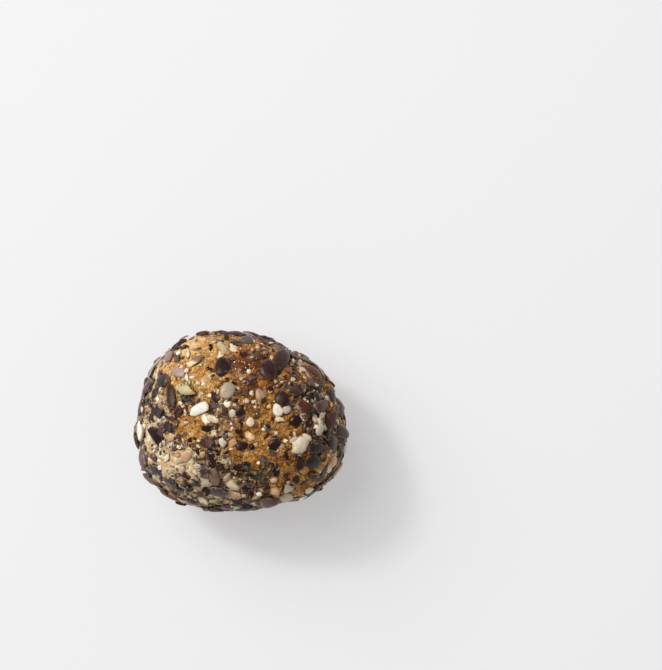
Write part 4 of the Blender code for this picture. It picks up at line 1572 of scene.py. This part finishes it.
@dataclass
class Dough:
    """The ball of dough itself, grainy all over, with a hollow under each seed and a crease round it."""

    form: Form
    gold: GoldField
    cuts: int = 126
    grain_sizes: tuple[float, float] = (1.0, 0.5)
    grain_heights: tuple[float, float] = (0.1, 0.06)
    rough_height: float = 0.08
    rough_length: float = 1.3
    swelling: float = 0.06
    hollow: float = 0.3
    light_length: float = 0.4
    heavy_length: float = 1.4
    # Dough below this depth gets painted shade
    pit_depth: float = -0.1

    def cube_faces(self) -> tuple[np.ndarray, np.ndarray, np.ndarray]:
        """Makes a cube's surface with even cuts, each side with points of its own, blown up to a sphere.

        Returns:
            The directions, the triangles and the place of each triangle's corners on the map.
        """
        steps = np.linspace(-1, 1, self.cuts + 1)
        down, right = np.meshgrid(steps, steps, indexing="ij")
        across, up = np.tan(right * math.pi / 4).ravel(), np.tan(down * math.pi / 4).ravel()
        ones = np.ones_like(across)
        sides = (
            (across, up, ones),
            (up, across, -ones),
            (ones, across, up),
            (-ones, up, across),
            (up, ones, across),
            (across, -ones, up),
        )
        directions = np.concatenate([unit(np.stack(side, axis=1)) for side in sides])
        row, column = np.divmod(np.arange(self.cuts**2), self.cuts)
        a = row * (self.cuts + 1) + column
        b, c, d = a + 1, a + self.cuts + 2, a + self.cuts + 1
        quads = np.concatenate([np.stack([a, b, c], axis=1), np.stack([a, c, d], axis=1)])
        offsets = np.arange(6) * (self.cuts + 1) ** 2
        faces = (quads[None] + offsets[:, None, None]).reshape(-1, 3)
        spots = np.stack([right.ravel(), down.ravel()], axis=1) * SIDE_FILLED + 0.5
        places = np.concatenate([(spots + (side % 3, side // 3)) / (3, 2) for side in range(6)])
        return directions, faces, places[faces]

    def merged(self, directions: np.ndarray, faces: np.ndarray) -> tuple[np.ndarray, np.ndarray]:
        """Joins the points where the cube's sides meet.

        Args:
            directions: The directions, with those on the cube's edges there more than once.
            faces: The triangles.

        Returns:
            The directions, each there once, and the triangles.
        """
        _, first, index = np.unique(np.round(directions, 5), axis=0, return_index=True, return_inverse=True)
        return directions[first], index.reshape(-1)[faces]

    def grains(self, points: np.ndarray) -> np.ndarray:
        """Works out the height of the crumb: two sizes of rounded grains over a rough ground.

        Args:
            points: Places on the bare ball.

        Returns:
            The height at each place.
        """
        height = np.empty(len(points))
        for index, point in enumerate(points.tolist()):
            place = Vector(point)
            total = self.rough_height * noise.fractal(place / self.rough_length, 1.0, 2.0, 4)
            for size, rise in zip(self.grain_sizes, self.grain_heights, strict=True):
                near = noise.voronoi(place / size)[0][0]
                total += rise * (0.5 - (near / 0.6) ** 2)
            height[index] = total
        return height

    def build(self, footprints: Lying) -> bpy.types.Object:
        """Builds the dough round the seeds.

        Args:
            footprints: The seeds and fragments that press into it.

        Returns:
            The piece.
        """
        directions, faces, places = self.cube_faces()
        directions, faces = self.merged(directions, faces)
        spots, normals = self.form.seats(directions)
        pale = self.gold.pale(directions)
        lift = self.grains(spots) * (1 - 0.7 * np.clip(pale, 0, 1)) + self.swelling
        pressed = self.presses(spots, footprints)
        lift = lift + (-self.hollow - lift) * pressed
        on_table = eased(0.2, 1.2, spots[:, 2])
        lift = np.where(lift > 0, lift * on_table, lift)
        placed = spots + normals * lift[:, None]
        placed[:, 2] = np.maximum(placed[:, 2], 0.02)
        mesh = mesh_of("kinako_dough", placed, faces)
        put_attribute(mesh, "gold", "FLOAT", "value", self.gold.at(directions))
        put_attribute(mesh, "pale", "FLOAT", "value", pale)
        # Painted shade where the dough lies low, away from the hollows under seeds
        deep = np.clip((self.pit_depth - lift) / 0.12, 0, 1) * (1 - pressed)
        put_attribute(mesh, "deep", "FLOAT", "value", deep)
        put_attribute(mesh, "skin", "FLOAT_COLOR", "color", np.ones((len(placed), 4)))
        mesh.uv_layers.new(name=BAKE_MAP).data.foreach_set("uv", places.astype(np.float32).ravel())
        piece = bpy.data.objects.new("kinako_dough", mesh)
        bpy.context.scene.collection.objects.link(piece)
        return piece

    def presses(self, spots: np.ndarray, footprints: Lying) -> np.ndarray:
        """Finds what lies under each seed.

        Args:
            spots: Places on the bare ball.
            footprints: The seeds and fragments.

        Returns:
            How far each place is under a seed, 0 to 1.
        """
        tree = kdtree.KDTree(len(spots))
        for index, spot in enumerate(spots.tolist()):
            tree.insert(spot, index)
        tree.balance()
        seats, normals = self.form.seats(footprints.directions)
        turns = footprints.turns
        turned = np.stack([np.cos(turns), np.sin(turns), np.zeros(len(turns))], axis=1)
        along = unit(turned - normals * np.sum(turned * normals, axis=1)[:, None] + (0, 0, 1e-9))
        across = np.cross(normals, along)
        under = np.zeros(len(spots))
        weights = eased(self.light_length, self.heavy_length, footprints.lengths)
        for row in range(len(footprints)):
            half = footprints.lengths[row] / 2
            found = [item[1] for item in tree.find_range(seats[row].tolist(), half * 1.06)]
            offset = spots[found] - seats[row]
            far = np.hypot(offset @ along[row] / half, offset @ across[row] / (footprints.widths[row] / 2))
            under[found] = np.maximum(under[found], (1 - eased(0.66, 0.98, far)) * weights[row])
        return under


SEED_NUGGET = Nugget(
    24,
    (
        Ring(0.4, 0.95, 0.24),
        Ring(0.7, 0.78, 0.42),
        Ring(0.88, 0.52, 0.56),
        Ring(0.97, 0.24, 0.66),
        Ring(1.0, 0.0, 0.74),
        Ring(0.8, -0.6, 0.88),
    ),
)
SHARD_NUGGET = Nugget(12, (Ring(0.88, 0.86, 0.5), Ring(1.0, 0.42, 0.66), Ring(0.92, -0.9, 0.86)))
GRIT_NUGGET = Nugget(6, (Ring(0.88, 0.8, 0.5), Ring(1.0, -0.4, 0.72)))
FLAKE_NUGGET = Nugget(6, (Ring(0.6, 1.0, 0.4), Ring(1.0, 0.7, 0.64), Ring(1.0, -0.7, 0.76)))
CRUMB_NUGGET = Nugget(6, (Ring(0.7, 0.75, 0.4), Ring(1.0, 0.1, 0.64), Ring(0.7, -0.8, 0.84)))
SPECK_NUGGET = Nugget(6, (Ring(1.0, 0.2, 0.6),))
SEED_BED = Bedding((0.4, 0.48), (0.3, 1.2), (0.46, 0.64), 0.018, 6)
SHARD_BED = Bedding((0.35, 0.6), (0.24, 0.7), (0.3, 0.62), 0.03, 11, 0.12, True)
SOFT_BED = Bedding((0.28, 0.46), (0.2, 0.56), (0.36, 0.66), 0.06, 11, 0.12)
FLAKE_BED = Bedding((0.1, 0.16), (0.07, 0.12), (0.5, 2.0), 0.05, 34, 0.5, True)
PLATE_BED = Bedding((0.1, 0.16), (0.1, 0.2), (0.7, 1.5), 0.03, 8, 0.25, True)
CURL_BED = Bedding((0.1, 0.12), (0.1, 0.14), (0.5, 0.9), 0.03, 5, 0.16, True)
CRUMB_BED = Bedding((0.4, 0.7), (0.15, 0.4), (0.15, 0.45), 0.1, 18)
FLECK_BED = Bedding((0.2, 0.5), (0.08, 0.3), (0.5, 1.2), 0.06, 38, 0.2, True)
SPECK_BED = Bedding((0.3, 0.6), (0.08, 0.25), (0.6, 1.1), 0.1, 25, 0.0, True)


@dataclass(frozen=True)
class Kind:
    """Seeds or fragments of one kind of skin: what the piece is called, its skins and its finish."""

    name: str
    skins: tuple[Skin, ...]
    finish: SeedFinish


@dataclass(frozen=True)
class Grit:
    """Small things strewn over the ball.

    The gain is near 1 for only where gold crumb shows, near -1 for only where it doesn't, and 0 for evenly.
    The ceiling is how far up they lie, as the height of their direction. Without a finish they have that of
    the dough.
    """

    name: str
    nugget: Nugget
    bedding: Bedding
    count: int
    sizes: tuple[float, float]
    gold_gain: float
    tones: tuple[Tone, ...]
    seed: int
    finish: SeedFinish | None
    ceiling: float = 1.0


@dataclass
class Toppings:
    """Everything that lies on the dough, one piece for each kind."""

    form: Form
    layout: Layout
    kinds: tuple[Kind, ...] = (
        Kind("black", (Skin.SLATE, Skin.CHARCOAL, Skin.UMBER, Skin.MOSSY),
             SeedFinish("black_skin", (104, 74, 60), 0.26, 0.26, 0.22, 0.3, 0.2)),
        Kind("brown", (Skin.BROWN, Skin.RED, Skin.COCOA, Skin.MAUVE, Skin.PINK),
             SeedFinish("brown_skin", (60, 38, 28), 0.4, 0.28, 0.26, 0.28, 0.3)),
        Kind("white", (Skin.WHITE, Skin.IVORY, Skin.CREAM),
             SeedFinish("ivory_skin", (214, 184, 138), 0.45, 0.5, 0.35, 0.2, 0.3, 0.2)),
        Kind("glassy", (Skin.GLASSY, Skin.TAN, Skin.HAZEL, Skin.AMBER, Skin.LEMON, Skin.GREEN),
             SeedFinish("glassy_skin", (168, 124, 76), 0.5, 0.34, 0.4, 0.22, 0.65, 0.4)),
    )
    grits: tuple[Grit, ...] = (
        Grit("gold_crumbs", CRUMB_NUGGET, CRUMB_BED, 4600, (0.25, 0.75), 0.6,
             ((255, 255, 255), (236, 226, 214), (255, 250, 240), (214, 190, 170)), 41, None),
        Grit("cream_grit", GRIT_NUGGET, SOFT_BED, 900, (0.25, 0.8), -0.75,
             ((220, 192, 148), (238, 222, 186), (204, 164, 108), (188, 154, 114)), 43,
             SeedFinish("cream_grain", (170, 124, 76), 0.4, 0.4, 0.35, 0.25, 0.8, 0.4, smeared=0.06)),
        # Glossy specks over the gold crumb; their pale colour is painted glints of the wet crumb
        Grit("crystal_crumbs", SPECK_NUGGET, SPECK_BED, 2600, (0.1, 0.3), 0.75,
             ((246, 206, 140), (255, 232, 190), (228, 170, 92)), 67,
             SeedFinish("crystal_skin", (200, 150, 84), 0.3, 0.2, 0.6, 0.2, 0.3, 0.4)),
        Grit("dark_grit", SPECK_NUGGET, SPECK_BED, 3600, (0.1, 0.4), -0.55,
             ((50, 34, 30), (68, 44, 34), (48, 42, 44), (98, 62, 40)), 47,
             SeedFinish("speck_skin", (90, 66, 50), 0.4, 0.45, 0.3)),
        Grit("hull_flakes", FLAKE_NUGGET, FLAKE_BED, 700, (0.5, 1.4), -0.92,
             ((44, 33, 36), (64, 46, 44), (52, 50, 56), (206, 186, 152), (112, 86, 72)), 53,
             SeedFinish("flake_skin", (140, 112, 84), 0.5, 0.4, 0.4)),
        Grit("hull_plates", SHARD_NUGGET, PLATE_BED, 400, (1.1, 2.6), -0.85,
             ((42, 31, 30), (60, 46, 44), (84, 66, 60), (112, 90, 76), (54, 40, 34)), 57,
             SeedFinish("plate_skin", (150, 122, 92), 0.4, 0.42, 0.35), 0.36),
    )
    fleck_draw: int = 61
    curl_draw: int = 59
    gap_share: float = 0.45
    stray_share: float = 0.03
    stray_draw: int = 5
    rows_at_once: int = 1000

    def piece(
        self, name: str, lying: Lying, nugget: Nugget, bedding: Bedding, seed: int, finish: bpy.types.Material
    ) -> bpy.types.Object:
        """Lays things of one kind as one piece, and dresses it.

        Args:
            name: The piece's name.
            lying: The things.
            nugget: The mesh that each of them has.
            bedding: How they sit.
            seed: The seed of the draw.
            finish: Their material.

        Returns:
            The piece.
        """
        made = Scatter(name, self.form, nugget, bedding, seed).lay(lying)
        made.data.materials.append(finish)
        gold = self.layout.gold
        for share, values in (("gold", gold.at(lying.directions)), ("pale", gold.pale(lying.directions))):
            put_attribute(made.data, share, "FLOAT", "value", np.repeat(values, len(nugget.height)))
        return made

    def seeds_and_shards(self, items: Sequence[Item]) -> list[bpy.types.Object]:
        """Builds the whole seeds, and the broken pieces of seed.

        Args:
            items: As Layout.everything gives them.

        Returns:
            Two pieces for each kind of skin.
        """
        made = []
        for kind in self.kinds:
            own = [item for item in items if item.skin in kind.skins and item.cut != Cut.CRUSHED]
            soft = any(skin in PALE_SKINS for skin in kind.skins)
            smeared = replace(
                kind.finish,
                name=f"{kind.finish.name}_smeared",
                film=0.7,
                smeared=0.05 if soft else -0.04,
                shine=kind.finish.shine * 0.7,
                roughness=kind.finish.roughness + 0.08,
            )
            for name, whole, nugget, bedding, finish in (
                ("sesame", True, SEED_NUGGET, SEED_BED, kind.finish),
                ("shards", False, SHARD_NUGGET, SOFT_BED if soft else SHARD_BED, smeared),
            ):
                seed = len(kind.name) + len(name)
                lying = laid([item for item in own if item.is_whole() == whole], random.Random(seed))
                name = f"{kind.name}_{name}"
                made.append(self.piece(name, lying, nugget, bedding, seed, finish.material()))
        return made

    def strewn(self, footprints: Lying, dough: bpy.types.Material) -> list[bpy.types.Object]:
        """Strews the crumbs and flakes between the seeds.

        Args:
            footprints: The seeds and fragments that the crumbs lie between.
            dough: The dough's material.

        Returns:
            One piece for each kind.
        """
        made = []
        for grit in self.grits:
            lying = self.layout.strew(grit)
            lying = lying.where(self.between(lying, footprints))
            finish = grit.finish.material() if grit.finish else dough
            made.append(self.piece(grit.name, lying, grit.nugget, grit.bedding, grit.seed, finish))
        return made

    def hulls(self) -> list[bpy.types.Object]:
        """Builds the flecks of crushed seeds and the flakes that peel off.

        Returns:
            The two pieces.
        """
        fleck = SeedFinish("fleck_skin", (110, 90, 60), 0.3, 0.36, 0.5).material()
        curl = SeedFinish("curl_skin", (150, 126, 100), 0.4, 0.36, 0.4, film=0.5).material()
        crushed, peeling = self.layout.crush(CRUSHED, self.fleck_draw), self.layout.peel(PEELING)
        return [
            self.piece("crushed_hull", crushed, SHARD_NUGGET, FLECK_BED, self.fleck_draw, fleck),
            self.piece("curled_flakes", peeling, SHARD_NUGGET, CURL_BED, self.curl_draw, curl),
        ]

    def between(self, lying: Lying, footprints: Lying) -> np.ndarray:
        """Tells which small things lie clear of the seeds, but for a few that lie on them.

        Args:
            lying: The small things.
            footprints: The seeds and fragments.

        Returns:
            A mask of rows.
        """
        radius = self.form.mean_radius
        reach = footprints.widths[None] * self.gap_share
        clear = np.ones(len(lying), bool)
        for start in range(0, len(lying), self.rows_at_once):
            rows = slice(start, start + self.rows_at_once)
            apart = np.linalg.norm(
                (lying.directions[rows][:, None] - footprints.directions[None]).astype(np.float32), axis=2
            )
            clear[rows] = (apart * radius > reach).all(axis=1)
        stray = np.random.default_rng(self.stray_draw).random(len(lying)) < self.stray_share
        return clear | stray


@dataclass
class Studio:
    """The pale surface, the soft light and the camera."""

    floor_side: float = 3000.0
    floor_tone: Tone = (177, 177, 178)
    floor_glow: float = 0.8
    sky_tone: Tone = (255, 252, 248)
    sky_strength: float = 0.42
    lamp_way: tuple[float, float, float] = (-0.5, 0.42, 0.76)
    lamp_distance: float = 900.0
    lamps: tuple[tuple[float, float], ...] = ((800.0, 6.6), (140.0, 3.0))
    camera_distance: float = 500.0
    sensor: float = 36.0

    def build(self, middle: float) -> None:
        """Sets the scene.

        Args:
            middle: How high the ball's widest level is.
        """
        self.floor()
        self.light()
        self.camera(middle)

    def floor(self) -> None:
        """Lays the surface."""
        half = self.floor_side / 2
        corners = np.array([(-half, -half, 0), (half, -half, 0), (half, half, 0), (-half, half, 0)])
        mesh = mesh_of("floor", corners, np.array([(0, 1, 2), (0, 2, 3)]))
        sheet = Sheet("floor_paper")
        tone = linear(*self.floor_tone)
        mesh.materials.append(
            sheet.finish(
                Base_Color=tone,
                Roughness=0.9,
                Specular_IOR_Level=0.1,
                Emission_Color=tone,
                Emission_Strength=self.floor_glow,
            )
        )
        floor = bpy.data.objects.new("floor", mesh)
        bpy.context.scene.collection.objects.link(floor)

    def light(self) -> None:
        """Hangs a large soft lamp at the upper left with a small bright one in its middle, in a pale room."""
        way = Vector(self.lamp_way).normalized()
        for side, power in self.lamps:
            lamp = bpy.data.lights.new("soft_lamp", "AREA")
            lamp.shape = "SQUARE"
            lamp.size = side * MM
            lamp.energy = power
            hung = bpy.data.objects.new("soft_lamp", lamp)
            hung.location = way * self.lamp_distance * MM
            hung.rotation_euler = way.to_track_quat("Z", "Y").to_euler()
            bpy.context.scene.collection.objects.link(hung)
        world = bpy.data.worlds.new("pale_room")
        world.use_nodes = True
        background = world.node_tree.nodes["Background"]
        background.inputs["Color"].default_value = linear(*self.sky_tone)
        background.inputs["Strength"].default_value = self.sky_strength
        bpy.context.scene.world = world
        bpy.context.scene.view_settings.view_transform = "Standard"

    def camera(self, middle: float) -> None:
        """Hangs the camera straight above, where the photograph was taken from.

        Args:
            middle: The height at which the photograph's scale holds.
        """
        view = bpy.data.cameras.new("camera")
        view.sensor_width = self.sensor
        view.lens = self.sensor * self.camera_distance * PHOTO_PX_PER_MM / max(PHOTO_WIDTH, PHOTO_HEIGHT)
        view.clip_start, view.clip_end = 0.01, 10.0
        hung = bpy.data.objects.new("camera", view)
        across = (PHOTO_WIDTH / 2 - BALL_MIDDLE_PX[0]) / PHOTO_PX_PER_MM
        up = (BALL_MIDDLE_PX[1] - PHOTO_HEIGHT / 2) / PHOTO_PX_PER_MM
        hung.location = Vector((across, up, middle + self.camera_distance)) * MM
        bpy.context.scene.collection.objects.link(hung)
        bpy.context.scene.camera = hung


def main() -> None:
    """Builds and dresses the ball, then sets the scene."""
    logging.basicConfig(level=logging.INFO, format="%(message)s")
    form = Form()
    gold = GoldField(form)
    layout = Layout(form, gold)
    toppings = Toppings(form, layout)
    items = layout.everything()
    footprints = laid(items, random.Random(1))
    dough = Dough(form, gold).build(footprints)
    finish = DoughFinish().material()
    dough.data.materials.append(finish)
    pieces = [
        dough,
        *toppings.seeds_and_shards(items),
        *toppings.strewn(footprints, finish),
        *toppings.hulls(),
    ]
    for piece in pieces:
        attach(piece, "root")
        LOG.info("%s: %d triangles", piece.name, len(piece.data.polygons))
    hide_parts(NODE)
    Studio().build(form.middle_height)


if __name__ == "__main__":
    main()
